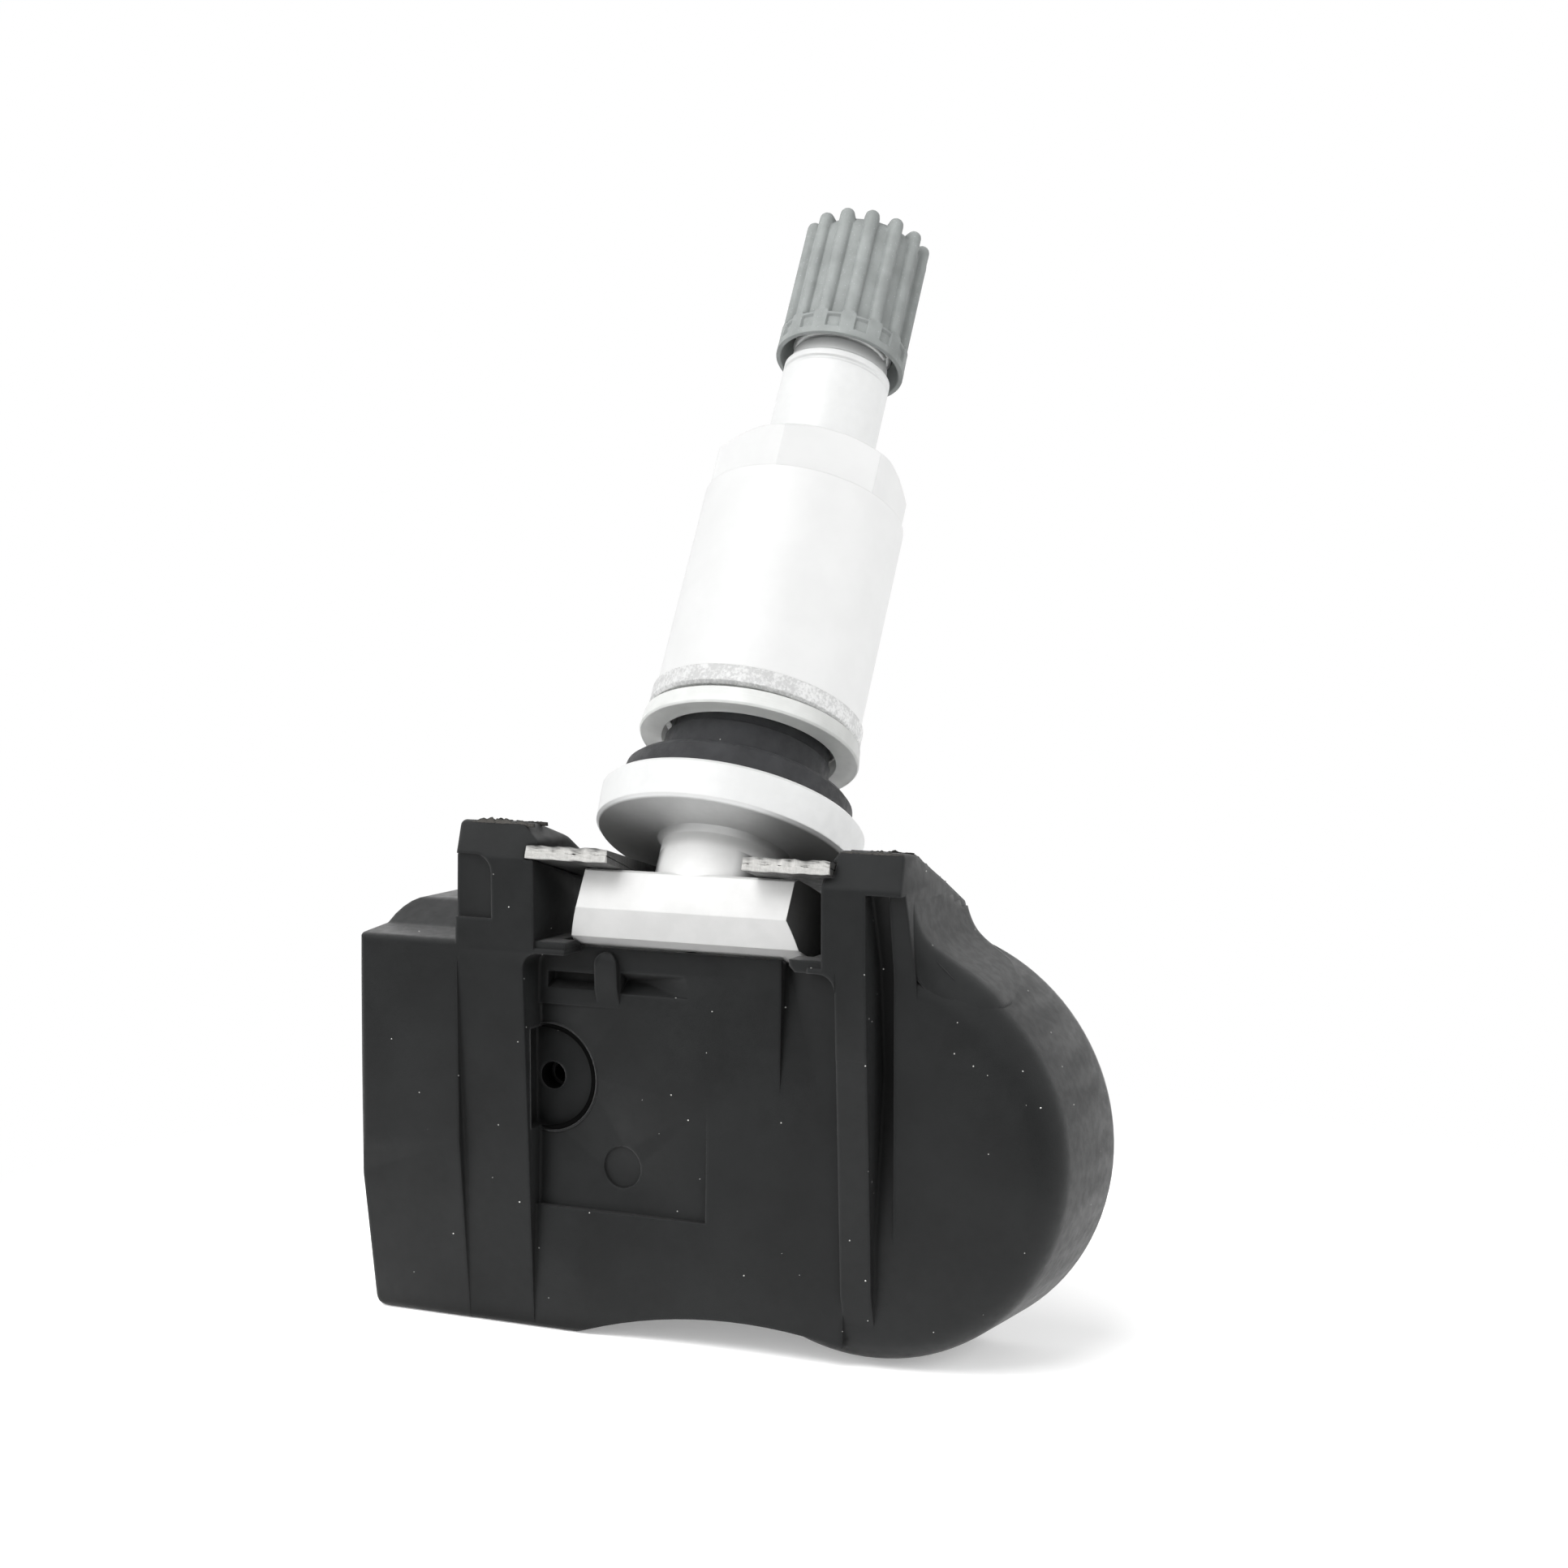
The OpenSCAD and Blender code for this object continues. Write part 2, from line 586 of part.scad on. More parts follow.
module radio_antenna() {
    low = 3;
    width = sensor_left - 1.4 - board_left;
    color([0.8, 0.6, 0.3]) in_body() difference() {
        chip(board_left, low, width, antenna_l, 2 * antenna_w);
        block(board_left + antenna_w, board_left + width - antenna_w, board_front - 3, board_front + 1,
            low + antenna_w, low + antenna_l - antenna_w);
    }
}
module small_components() {
    color([0.6, 0.5, 0.35]) in_body() {
        for (i = [0:3])
            chip(chips_x - 3.4 + 1.6 * (i % 2), 6 + 2 * floor(i / 2), 1, 0.5, 0.5);
        for (i = [0:2])
            chip(chips_x + 1.9 * i, 17.3, 1.2, 0.8, 0.7);
    }
}

module retaining_fork() {
    slot = neck_r + 0.7;
    web_y = (front_reach + neck_h * sin(lean) * 0.7 + neck_r * cos(lean)) / cos(fork_slope);
    back = (body_d - 0.1) / cos(fork_slope);
    color([0.72, 0.71, 0.69]) in_body() fork_plane() difference() {
        block(-fork_x, fork_x, 0, back, -fork_t / 2, fork_t / 2);
        translate([0, web_y - slot + 0.6, -fork_t]) cylinder(r = slot, h = 2 * fork_t);
        block(-slot, slot, -1, web_y - slot + 0.6, -fork_t, fork_t);
    }
}
module foot_section(gap) {
    f = foot_flat + gap;
    h = foot_half + gap * 0.4;
    polygon([[-f, -h], [-f, h], [-f + foot_top - foot_half, foot_top + gap],
        [f - foot_top + foot_half, foot_top + gap], [f, h], [f, -h],
        [f - foot_low + foot_half, -foot_low - gap], [-f + foot_low - foot_half, -foot_low - gap]]);
}
module valve_stem() {
    c = 0.25;
    color([0.86, 0.86, 0.87]) on_valve() difference() {
        union() {
            intersection() {
                bar(-foot_l, foot_l) foot_section(0);
                translate([0, 0, -10]) cylinder(r = foot_l / 2, h = 20);
            }
            rotate_extrude() polygon([[0, 0], [neck_r, 0], [neck_r, flange_z - 0.4], [neck_r + 0.4, flange_z],
                [flange_r - 0.15 - c, flange_z], [flange_r - 0.15, flange_z + c],
                [flange_r, flange_top - c], [flange_r - c, flange_top], [stem_r, flange_top],
                [stem_r, shoulder_z - 0.95], [stem_r - 0.12, shoulder_z - 0.85],
                [stem_r - 0.12, shoulder_z - 0.7], [stem_r, shoulder_z - 0.6], [stem_r, shoulder_z - 0.15],
                [stem_r - 0.15, shoulder_z], [thread_r - 0.15, shoulder_z], [thread_r - 0.15, cap_z + 0.3],
                [thread_r, cap_z + 0.5], [thread_r, stem_top - 0.4], [thread_r - 0.4, stem_top], [0, stem_top]]);
        }
        translate([0, 0, chamber_low]) cylinder(r = chamber_r, h = stem_top);
        translate([0, 0, -5]) cylinder(r = air_r, h = stem_top);
    }
}
module grommet() {
    bore = stem_r + run;
    c = 0.3;
    color([0.13, 0.135, 0.14]) on_valve() rotate_extrude() polygon([[bore, flange_top],
        [grommet_flange_r - 0.1, flange_top], [grommet_flange_r, flange_top + c],
        [grommet_flange_r - 0.25, flange_top + grommet_flange_t - c],
        [grommet_flange_r - 0.25 - c, flange_top + grommet_flange_t],
        [grommet_r, flange_top + grommet_flange_t], [grommet_r, flange_top + grommet_flange_t + seat_l],
        [grommet_r - 0.25, flange_top + grommet_flange_t + seat_l + 0.1], [grommet_r - 0.25, neck_top - c],
        [grommet_r - 0.25 - c, neck_top], [bore, neck_top]]);
}
module sliding_washer() {
    low = nut_z - slack - washer_r * sin(washer_tilt) - washer_t;
    color([0.75, 0.77, 0.78]) on_valve() translate([0, 0, low]) rotate([0, -washer_tilt, 0])
        rotate_extrude() polygon([[grommet_r + 0.3, 0], [washer_r - 0.1, 0], [washer_r, 0.15],
            [washer_r - 0.1, washer_t], [grommet_r + 0.3, washer_t]]);
}
module sleeve_nut() {
    bore = stem_r + run;
    flats_z = nut_top - flats_h;
    color([0.88, 0.88, 0.89]) on_valve() difference() {
        intersection() {
            rotate_extrude() polygon([[0, nut_z], [collar_r - 0.2, nut_z], [collar_r, nut_z + 0.2],
                [collar_r, nut_z + collar_h - 0.1], [nut_r, nut_z + collar_h], [nut_r, nut_top - 0.75],
                [nut_af / 2 + 0.05, nut_top], [0, nut_top]]);
            union() {
                translate([0, 0, nut_z - 1]) cylinder(r = collar_r + 1, h = flats_z - nut_z + 1);
                rotate([0, 0, nut_turn]) translate([0, 0, flats_z - e])
                    cylinder(d = nut_af / cos(30), h = flats_h + 1, $fn = 6);
            }
        }
        translate([0, 0, nut_z - 1]) cylinder(r = bore, h = nut_l + 2);
        translate([0, 0, nut_z - e]) cylinder(r = grommet_r + 0.3, h = counterbore_h);
        translate([0, 0, nut_z + counterbore_h - 2 * e]) cylinder(r1 = grommet_r, r2 = bore, h = 1.2);
    }
}
module cap_rib(a) {
    rotate([0, 0, a]) translate([rib_line, 0, 0]) {
        translate([0, 0, cap_z + 1]) cylinder(r = rib_r, h = cap_l - 1 - rib_r, $fn = 16);
        translate([0, 0, cap_top - rib_r]) sphere(r = rib_r, $fn = 16);
    }
}
module valve_cap() {
    color([0.42, 0.44, 0.45]) on_valve() difference() {
        union() {
            rotate_extrude() polygon([[0, cap_z], [band_r - 0.1, cap_z], [band_r, cap_z + 0.15],
                [band_r - 0.05, cap_z + band_h - 0.2], [band_r - 0.25, cap_z + band_h],
                [cap_r, cap_z + band_h + 0.1], [cap_r - 0.08, cap_top - 1.3], [cap_r - 0.5, cap_top - 0.55],
                [cap_r - 1.2, cap_top - 0.2], [0, cap_top - 0.1]]);
            for (i = [0:rib_n - 1])
                cap_rib(90 + i * 360 / rib_n);
        }
        // Windows between the ribs in the band
        for (i = [0:rib_n - 1])
            rotate([0, 0, 90 + (i + 0.5) * 360 / rib_n]) block(cap_r + 0.12, band_r + 1, -0.55, 0.55,
                cap_z + 0.75, cap_z + 1.45);
        translate([0, 0, cap_z - e]) cylinder(r = thread_r + run, h = cap_roof - cap_z + e);
        translate([0, 0, cap_z - e]) cylinder(r1 = band_r - 0.35, r2 = thread_r, h = 0.9);
    }
}
module cap_seal() {
    color([0.1, 0.1, 0.1]) on_valve() ring(thread_r - 0.1, 1.2, stem_top + slack, stem_top + slack + seal_t);
}
module core_barrel() {
    groove = core_low + 4.2;
    color([0.8, 0.68, 0.4]) on_valve() difference() {
        rotate_extrude() polygon([[0, core_low], [core_r - 0.5, core_low], [core_r - 0.3, groove],
            [core_r - 0.6, groove], [core_r - 0.6, groove + 1.4], [core_r, groove + 1.4],
            [core_r, core_top], [0, core_top]]);
        translate([0, 0, core_low - 1]) cylinder(r = pin_r + 0.35, h = core_l + 2);
        translate([0, 0, spring_low]) cylinder(r = spring_room_r, h = spring_top - spring_low + 0.6);
    }
}
module core_gasket() {
    groove = core_low + 4.2;
    color([0.75, 0.15, 0.12]) on_valve() ring(core_r - 0.05, core_r - 0.58, groove + run, groove + 1.4 - run);
}
module core_pin() {
    color([0.8, 0.7, 0.45]) on_valve() {
        translate([0, 0, pin_low]) cylinder(r = pin_r, h = pin_top - pin_low);
        translate([0, 0, core_low - run - seat_t - seat_disc_t]) cylinder(r = 1.5, h = seat_disc_t);
        translate([0, 0, spring_top]) cylinder(r = spring_room_r - 0.2, h = pin_collar_t);
    }
}
module core_seat() {
    color([0.12, 0.12, 0.12]) on_valve() ring(1.6, pin_r + 0.02, core_low - run - seat_t, core_low - run);
}
// A round wire wound into an open coil, as rings of points along a helix
module core_spring() {
    low = spring_low + run + wire_r;
    high = spring_top - run - wire_r;
    steps = spring_turns * coil_steps;
    mean_r = spring_room_r - 0.45;
    points = [for (i = [0:steps]) let (a = 360 * i / coil_steps, z = low + (high - low) * i / steps)
        for (j = [0:wire_sides - 1]) let (t = 360 * j / wire_sides, r = mean_r + wire_r * cos(t))
            [r * cos(a), r * sin(a), z + wire_r * sin(t)]];
    sides = [for (i = [0:steps - 1], j = [0:wire_sides - 1]) let (k = (j + 1) % wire_sides)
        [i * wire_sides + j, (i + 1) * wire_sides + j, (i + 1) * wire_sides + k, i * wire_sides + k]];
    ends = [[for (j = [0:wire_sides - 1]) j], [for (j = [wire_sides - 1:-1:0]) steps * wire_sides + j]];
    color([0.8, 0.8, 0.82]) on_valve() polyhedron(points, concat(sides, ends));
}

housing();
rear_cover();
circuit_board();
coin_cell();
cell_tab_front();
cell_tab_rear();
pressure_sensor();
port_seal();
control_chip();
crystal();
wake_coil();
radio_antenna();
small_components();
retaining_fork();
valve_stem();
grommet();
sliding_washer();
sleeve_nut();
valve_cap();
cap_seal();
core_barrel();
core_gasket();
core_pin();
core_seat();
core_spring();
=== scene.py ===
# %% [markdown]
# A clamp-in tyre pressure sensor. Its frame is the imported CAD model: bodies that move, and one plain
# mesh for each piece. This lesson loads the frame, sets up a photographer's table round it, and then
# gives each piece the finish and the fine shapes of the real one. All lengths are in metres, and the
# helper MM turns millimetres into them.

# %% Load the frame
import json
import math
import random
import bpy
import bmesh
from mathutils import Matrix, Vector
from mathutils.bvhtree import BVHTree


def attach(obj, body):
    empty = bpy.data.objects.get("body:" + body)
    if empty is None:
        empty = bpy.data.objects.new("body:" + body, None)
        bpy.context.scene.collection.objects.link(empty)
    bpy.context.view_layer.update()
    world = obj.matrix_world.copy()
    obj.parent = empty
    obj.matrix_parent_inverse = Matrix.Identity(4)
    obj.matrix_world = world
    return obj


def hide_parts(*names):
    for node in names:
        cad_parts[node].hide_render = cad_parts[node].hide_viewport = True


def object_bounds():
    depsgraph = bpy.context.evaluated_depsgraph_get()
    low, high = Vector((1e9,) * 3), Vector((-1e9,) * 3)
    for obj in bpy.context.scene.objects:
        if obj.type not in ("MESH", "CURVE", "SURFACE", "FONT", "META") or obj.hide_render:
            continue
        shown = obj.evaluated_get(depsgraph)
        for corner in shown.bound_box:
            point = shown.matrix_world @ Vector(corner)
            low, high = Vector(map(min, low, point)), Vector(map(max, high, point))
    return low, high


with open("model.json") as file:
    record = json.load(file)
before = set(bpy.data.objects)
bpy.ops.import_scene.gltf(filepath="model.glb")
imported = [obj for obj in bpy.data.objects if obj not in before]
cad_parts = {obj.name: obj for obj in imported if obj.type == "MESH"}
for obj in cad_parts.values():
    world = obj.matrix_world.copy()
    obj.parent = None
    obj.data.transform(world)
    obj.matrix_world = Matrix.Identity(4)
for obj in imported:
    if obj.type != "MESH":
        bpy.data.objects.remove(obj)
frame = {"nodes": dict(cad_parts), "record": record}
cad_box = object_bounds()
nodes = frame["nodes"]
MM = 0.001
print("pieces in the frame:", len(nodes))

# %% [markdown]
# The valve leans backwards from a pivot in the yoke. Most of the turned pieces are easiest to make
# standing upright round their own axis, and are then leaned into place. Two values are enough for
# that: where the pivot is, and how far the valve leans. The nut's joint in the frame gives both.

# %% The valve's own axes
turn_joint = [j for j in frame["record"]["behaviour"]["joints"] if j["name"] == "nut_turn"][0]
valve_axis = Vector(turn_joint["axis"]).normalized()
LEAN = math.atan2(valve_axis.y, valve_axis.z)
NUT_MIDDLE = 24 * MM
PIVOT = Vector(turn_joint["pos_m"]) - valve_axis * NUT_MIDDLE
TO_VALVE = Matrix.Translation(PIVOT) @ Matrix.Rotation(-LEAN, 4, "X")
print("the valve leans", round(math.degrees(LEAN), 1), "degrees; pivot", [round(v, 5) for v in PIVOT])

# %% [markdown]
# The camera stands 25 degrees to the right of the port face and looks 5 degrees down, through a lens
# of 61.5 mm on a 36 mm sensor. Its place was found from the photograph's own perspective, so that the
# render and the photograph can be laid over each other.

# %% Camera
CAMERA_AZIMUTH, CAMERA_PITCH = math.radians(25), math.radians(5)
EYE = Vector((77.6845, -169.285, 52.186)) * MM
SENSOR, FOCAL_PIXELS, FRAME_PIXELS = 36, 3300, 1932
right = Vector((math.cos(CAMERA_AZIMUTH), math.sin(CAMERA_AZIMUTH), 0))
back = Vector((math.sin(CAMERA_AZIMUTH) * math.cos(CAMERA_PITCH),
               -math.cos(CAMERA_AZIMUTH) * math.cos(CAMERA_PITCH), math.sin(CAMERA_PITCH)))
up = back.cross(right)
camera = bpy.data.objects.new("camera", bpy.data.cameras.new("camera"))
camera.data.sensor_width, camera.data.lens = SENSOR, SENSOR * FOCAL_PIXELS / FRAME_PIXELS
camera.data.clip_start, camera.data.clip_end = 0.001, 10
camera.matrix_world = Matrix((
    (right.x, up.x, back.x, EYE.x), (right.y, up.y, back.y, EYE.y),
    (right.z, up.z, back.z, EYE.z), (0, 0, 0, 1)))
bpy.context.scene.collection.objects.link(camera)
bpy.context.scene.camera = camera
bpy.context.scene.view_settings.view_transform = "Standard"
print("camera at", [round(v, 4) for v in EYE])

# %% [markdown]
# Node trees are built from a few short helpers: one adds a node and sets its properties by name, one
# feeds its inputs by name, and the rest do arithmetic on sockets. A shader effect that several
# finishes share becomes a node group with named sockets, made once and placed in each finish with
# its own numbers. The last two helpers put an object in the scene and turn a bmesh into a mesh.

# %% Helpers
def add(tree, kind, **values):
    """A new node of that kind, with its properties set by name."""
    n = tree.nodes.new(kind)
    for key, value in values.items():
        setattr(n, key, value)
    return n


def put(tree, socket, value):
    """Feeds a socket from another socket, or sets it to a plain value."""
    if isinstance(value, bpy.types.NodeSocket):
        tree.links.new(value, socket)
    else:
        socket.default_value = value


def feed(tree, node, **sockets):
    """Feeds inputs of a node by name, with _ for a space, and returns the node."""
    for name, value in sockets.items():
        put(tree, node.inputs[name.replace("_", " ")], value)
    return node


def fed(tree, kind, **sockets):
    """A new node of that kind with its inputs fed."""
    return feed(tree, add(tree, kind), **sockets)


def maths(tree, operation, *values, clamp=False):
    n = add(tree, "ShaderNodeMath", operation=operation, use_clamp=clamp)
    for i, v in enumerate(values):
        put(tree, n.inputs[i], v)
    return n.outputs[0]


def times(tree, first, second):
    return maths(tree, "MULTIPLY", first, second)


def spread(tree, value, low, high, to_low=0.0, to_high=1.0):
    """Maps value from the range low to high smoothly onto another range."""
    n = add(tree, "ShaderNodeMapRange", interpolation_type="SMOOTHSTEP")
    feed(tree, n, Value=value, From_Min=low, From_Max=high, To_Min=to_low, To_Max=to_high)
    return n.outputs["Result"]


def blend_colour(tree, factor, first, second):
    n = add(tree, "ShaderNodeMix", data_type="RGBA")
    for i, v in ((0, factor), (6, first), (7, second)):
        put(tree, n.inputs[i], v)
    return n.outputs[2]


def scaled(tree, colour, level):
    """A colour or vector times one number."""
    n = add(tree, "ShaderNodeVectorMath", operation="SCALE")
    put(tree, n.inputs[0], colour)
    put(tree, n.inputs["Scale"], level)
    return n.outputs[0]


def squeezed(tree, vector, factors):
    """A vector with each axis times its own factor."""
    n = add(tree, "ShaderNodeVectorMath", operation="MULTIPLY")
    put(tree, n.inputs[0], vector)
    put(tree, n.inputs[1], factors)
    return n.outputs[0]


def axes_of(tree, vector):
    """The X, Y and Z of a vector, as sockets by name."""
    n = add(tree, "ShaderNodeSeparateXYZ")
    put(tree, n.inputs[0], vector)
    return n.outputs


def noise(tree, vector, scale, detail=3.0, roughness=0.55):
    n = add(tree, "ShaderNodeTexNoise")
    feed(tree, n, Vector=vector, Scale=scale, Detail=detail, Roughness=roughness)
    return n.outputs["Fac"]


def shader_group(name, output, **inputs):
    """An empty node group: (tree, its inputs by name, its output). An input of None is a vector."""
    tree = bpy.data.node_groups.new(name, "ShaderNodeTree")
    for label, default in inputs.items():
        kind = "NodeSocketVector" if default is None else "NodeSocketFloat"
        socket = tree.interface.new_socket(label, in_out="INPUT", socket_type=kind)
        if default is not None:
            socket.default_value = default
    tree.interface.new_socket(output, in_out="OUTPUT", socket_type="NodeSocketFloat")
    return tree, add(tree, "NodeGroupInput").outputs, add(tree, "NodeGroupOutput").inputs[0]


def use_group(tree, group, **values):
    return feed(tree, add(tree, "ShaderNodeGroup", node_tree=group), **values).outputs


def new_object(name, data):
    obj = bpy.data.objects.new(name, data)
    bpy.context.scene.collection.objects.link(obj)
    return obj


def mesh_from(bm, name, turn_out=False):
    """The bmesh as a mesh, with its faces turned outwards if that is asked."""
    if turn_out:
        bmesh.ops.recalc_face_normals(bm, faces=bm.faces)
    mesh = bpy.data.meshes.new(name)
    bm.to_mesh(mesh)
    bm.free()
    return mesh


# %% [markdown]
# The table is a plain pale floor. The picture's background is white paper, so the camera, and the
# shiny pieces that mirror it, see the world and the far floor as white, while the floor near the
# part keeps its shadow. The side towards the camera is a dimmer room, in the world and on the floor
# in front: flat black plastic looks black there, while the rims that turn away catch the paper.
# Four soft lamps give the plain level of light, and they don't show as hot spots in the gloss.

# %% Floor, world and lamps
FLOOR_Z, FLOOR_HALF = -0.02 * MM, 1.5
PAPER, PAPER_LIFT = (0.8, 0.8, 0.8, 1), 0.3
SHADOW_INSIDE, WHITE_OUTSIDE = 0.035, 0.075
FRONT_START, FRONT_END, FRONT_MIRRORED = -0.03, -0.2, 0.3
SOFT_WORLD, FRONT_ROOM = 0.45, 0.2
LAMP_AIM = Vector((0, 0, 0.03))


def emptied(owner):
    """The node tree of a material or world, with nothing in it yet."""
    owner.use_nodes = True
    owner.node_tree.nodes.clear()
    return owner.node_tree


def make_floor():
    bm = bmesh.new()
    bmesh.ops.create_grid(bm, x_segments=1, y_segments=1, size=FLOOR_HALF)
    floor = new_object("floor", mesh_from(bm, "floor"))
    floor.location.z = FLOOR_Z
    material = bpy.data.materials.new("floor_paper")
    tree = emptied(material)
    path = add(tree, "ShaderNodeLightPath").outputs
    direct = maths(tree, "MAXIMUM", path["Is Camera Ray"], path["Is Transmission Ray"])
    seen = maths(tree, "MAXIMUM", direct, path["Is Glossy Ray"])
    paper = fed(tree, "ShaderNodeBsdfDiffuse", Color=PAPER)
    lift = fed(tree, "ShaderNodeEmission", Strength=times(tree, path["Is Camera Ray"], PAPER_LIFT))
    total = add(tree, "ShaderNodeAddShader")
    tree.links.new(paper.outputs[0], total.inputs[0])
    tree.links.new(lift.outputs[0], total.inputs[1])
    where = add(tree, "ShaderNodeTexCoord").outputs["Object"]
    reach = add(tree, "ShaderNodeVectorMath", operation="LENGTH")
    tree.links.new(where, reach.inputs[0])
    away = spread(tree, reach.outputs["Value"], SHADOW_INSIDE, WHITE_OUTSIDE)
    before = spread(tree, axes_of(tree, where)["Y"], FRONT_START, FRONT_END, 1.0, FRONT_MIRRORED)
    white = fed(tree, "ShaderNodeEmission", Strength=maths(tree, "MAXIMUM", direct, before))
    blend = fed(tree, "ShaderNodeMixShader", Fac=times(tree, away, seen))
    tree.links.new(total.outputs[0], blend.inputs[1])
    tree.links.new(white.outputs[0], blend.inputs[2])
    fed(tree, "ShaderNodeOutputMaterial", Surface=blend.outputs[0])
    floor.data.materials.append(material)


def make_world():
    world = bpy.data.worlds.new("white_paper_room")
    bpy.context.scene.world = world
    tree = emptied(world)
    axes = axes_of(tree, add(tree, "ShaderNodeTexCoord").outputs["Generated"])
    towards = spread(tree, axes["Y"], -0.25, -0.75)
    low = spread(tree, axes["Z"], 0.45, 0.1)
    gloss = spread(tree, times(tree, towards, low), 0.0, 1.0, 1.0, FRONT_ROOM)
    path = add(tree, "ShaderNodeLightPath").outputs
    soft = times(tree, path["Is Diffuse Ray"], SOFT_WORLD)
    shiny = maths(tree, "SUBTRACT", 1.0, path["Is Diffuse Ray"])
    level = maths(tree, "ADD", soft, times(tree, shiny, gloss))
    for direct in ("Is Camera Ray", "Is Transmission Ray"):
        level = maths(tree, "MAXIMUM", level, path[direct])
    background = fed(tree, "ShaderNodeBackground", Color=(1, 1, 1, 1), Strength=level)
    fed(tree, "ShaderNodeOutputWorld", Surface=background.outputs[0])


def make_lamp(name, place, size, watts):
    lamp = new_object(name, bpy.data.lights.new(name, "AREA"))
    lamp.data.shape, lamp.data.size, lamp.data.energy = "DISK", size, watts
    lamp.location = place
    lamp.rotation_euler = (LAMP_AIM - Vector(place)).to_track_quat("-Z", "Y").to_euler()
    lamp.visible_glossy = False


make_floor()
make_world()
make_lamp("lamp_above", (-0.09, -0.32, 0.54), 0.5, 3.9)
make_lamp("lamp_front_fill", (-0.15, -0.6, 0.14), 0.5, 2.0)
make_lamp("lamp_left", (-0.55, -0.35, 0.35), 0.4, 2.0)
make_lamp("lamp_right", (0.6, -0.1, 0.35), 0.4, 2.4)
print("floor, world and four lamps")

# %% [markdown]
# Moulded nylon, turned aluminium and rubber all show the same few things when one looks closely: a
# fine grain, slow drift of tone, specks of dust, and, on what came off a lathe, rings round the axis.
# Two more groups paint light into the colour: a painted highlight along edges and painted shade in
# corners. Each is a node group. The patterns work in millimetres on the piece's own coordinates.

# %% Shared effects
def group_grain():
    tree, given, result = shader_group("fine grain", "Height", Place=None, Scale=8.0)
    fine = noise(tree, given["Place"], given["Scale"], 4.0, 0.6)
    coarse = noise(tree, given["Place"], times(tree, given["Scale"], 0.23), 2.0)
    put(tree, result, maths(tree, "ADD", times(tree, fine, 0.65), times(tree, coarse, 0.35)))
    return tree


def group_drift():
    tree, given, result = shader_group("tone drift", "Value", Place=None, Scale=0.2, Low=0.85,
                                       High=1.15)
    cloud = noise(tree, given["Place"], given["Scale"], 3.0)
    put(tree, result, spread(tree, cloud, 0.3, 0.7, given["Low"], given["High"]))
    return tree


def group_specks():
    """1 on round specks: Size is their radius in cells, and Share the part of the cells with one."""
    tree, given, result = shader_group("specks", "Mask", Place=None, Scale=1.0, Size=0.08, Share=0.3)
    cells = feed(tree, add(tree, "ShaderNodeTexVoronoi", feature="F1"),
                 Vector=given["Place"], Scale=given["Scale"])
    near = maths(tree, "LESS_THAN", cells.outputs["Distance"], given["Size"])
    parts = fed(tree, "ShaderNodeSeparateColor", Color=cells.outputs["Color"])
    kept = maths(tree, "LESS_THAN", parts.outputs[0], given["Share"])
    put(tree, result, times(tree, near, kept))
    return tree


def group_rings():
    tree, given, result = shader_group("lathe rings", "Height", Place=None, Scale=6.0)
    flat = squeezed(tree, given["Place"], (0.03, 0.03, 1.0))
    put(tree, result, noise(tree, flat, given["Scale"], 4.0, 0.7))
    return tree


def group_edge_highlights():
    """Painted edge highlights: 1 on rounded edges, worked out from how far a rounded normal leaves the
    face's own.
    """
    tree, given, result = shader_group("painted edge highlights", "Mask", Radius=0.0002, Strength=1.0)
    soft = feed(tree, add(tree, "ShaderNodeBevel", samples=4), Radius=given["Radius"])
    agree = add(tree, "ShaderNodeVectorMath", operation="DOT_PRODUCT")
    put(tree, agree.inputs[0], soft.outputs[0])
    put(tree, agree.inputs[1], add(tree, "ShaderNodeNewGeometry").outputs["Normal"])
    bent = spread(tree, agree.outputs["Value"], 0.995, 0.86)
    put(tree, result, maths(tree, "MULTIPLY", bent, given["Strength"], clamp=True))
    return tree


def group_corner_shade():
    """Painted shade: 1 on open faces, falling to Least in corners that see little of the room."""
    tree, given, result = shader_group("crevices", "Open", Distance=0.001, Least=0.3)
    seen = feed(tree, add(tree, "ShaderNodeAmbientOcclusion", samples=6), Distance=given["Distance"])
    put(tree, result, spread(tree, seen.outputs["AO"], 0.45, 0.97, given["Least"], 1.0))
    return tree


GRAIN, DRIFT, SPECKS = group_grain(), group_drift(), group_specks()
RINGS, EDGES, CORNER_SHADE = group_rings(), group_edge_highlights(), group_corner_shade()
print("shared effects:", [g.name for g in (GRAIN, DRIFT, SPECKS, RINGS, EDGES, CORNER_SHADE)])

# %% [markdown]
# A finish starts the same way each time: a Principled shader, and the object's coordinates turned
# into millimetres. For pieces on the valve, the coordinates are also turned so that Z runs along the
# valve. A rounded-edge normal makes the sharp CAD edges catch a thin line of light, as a moulding's
# or a turned edge does.

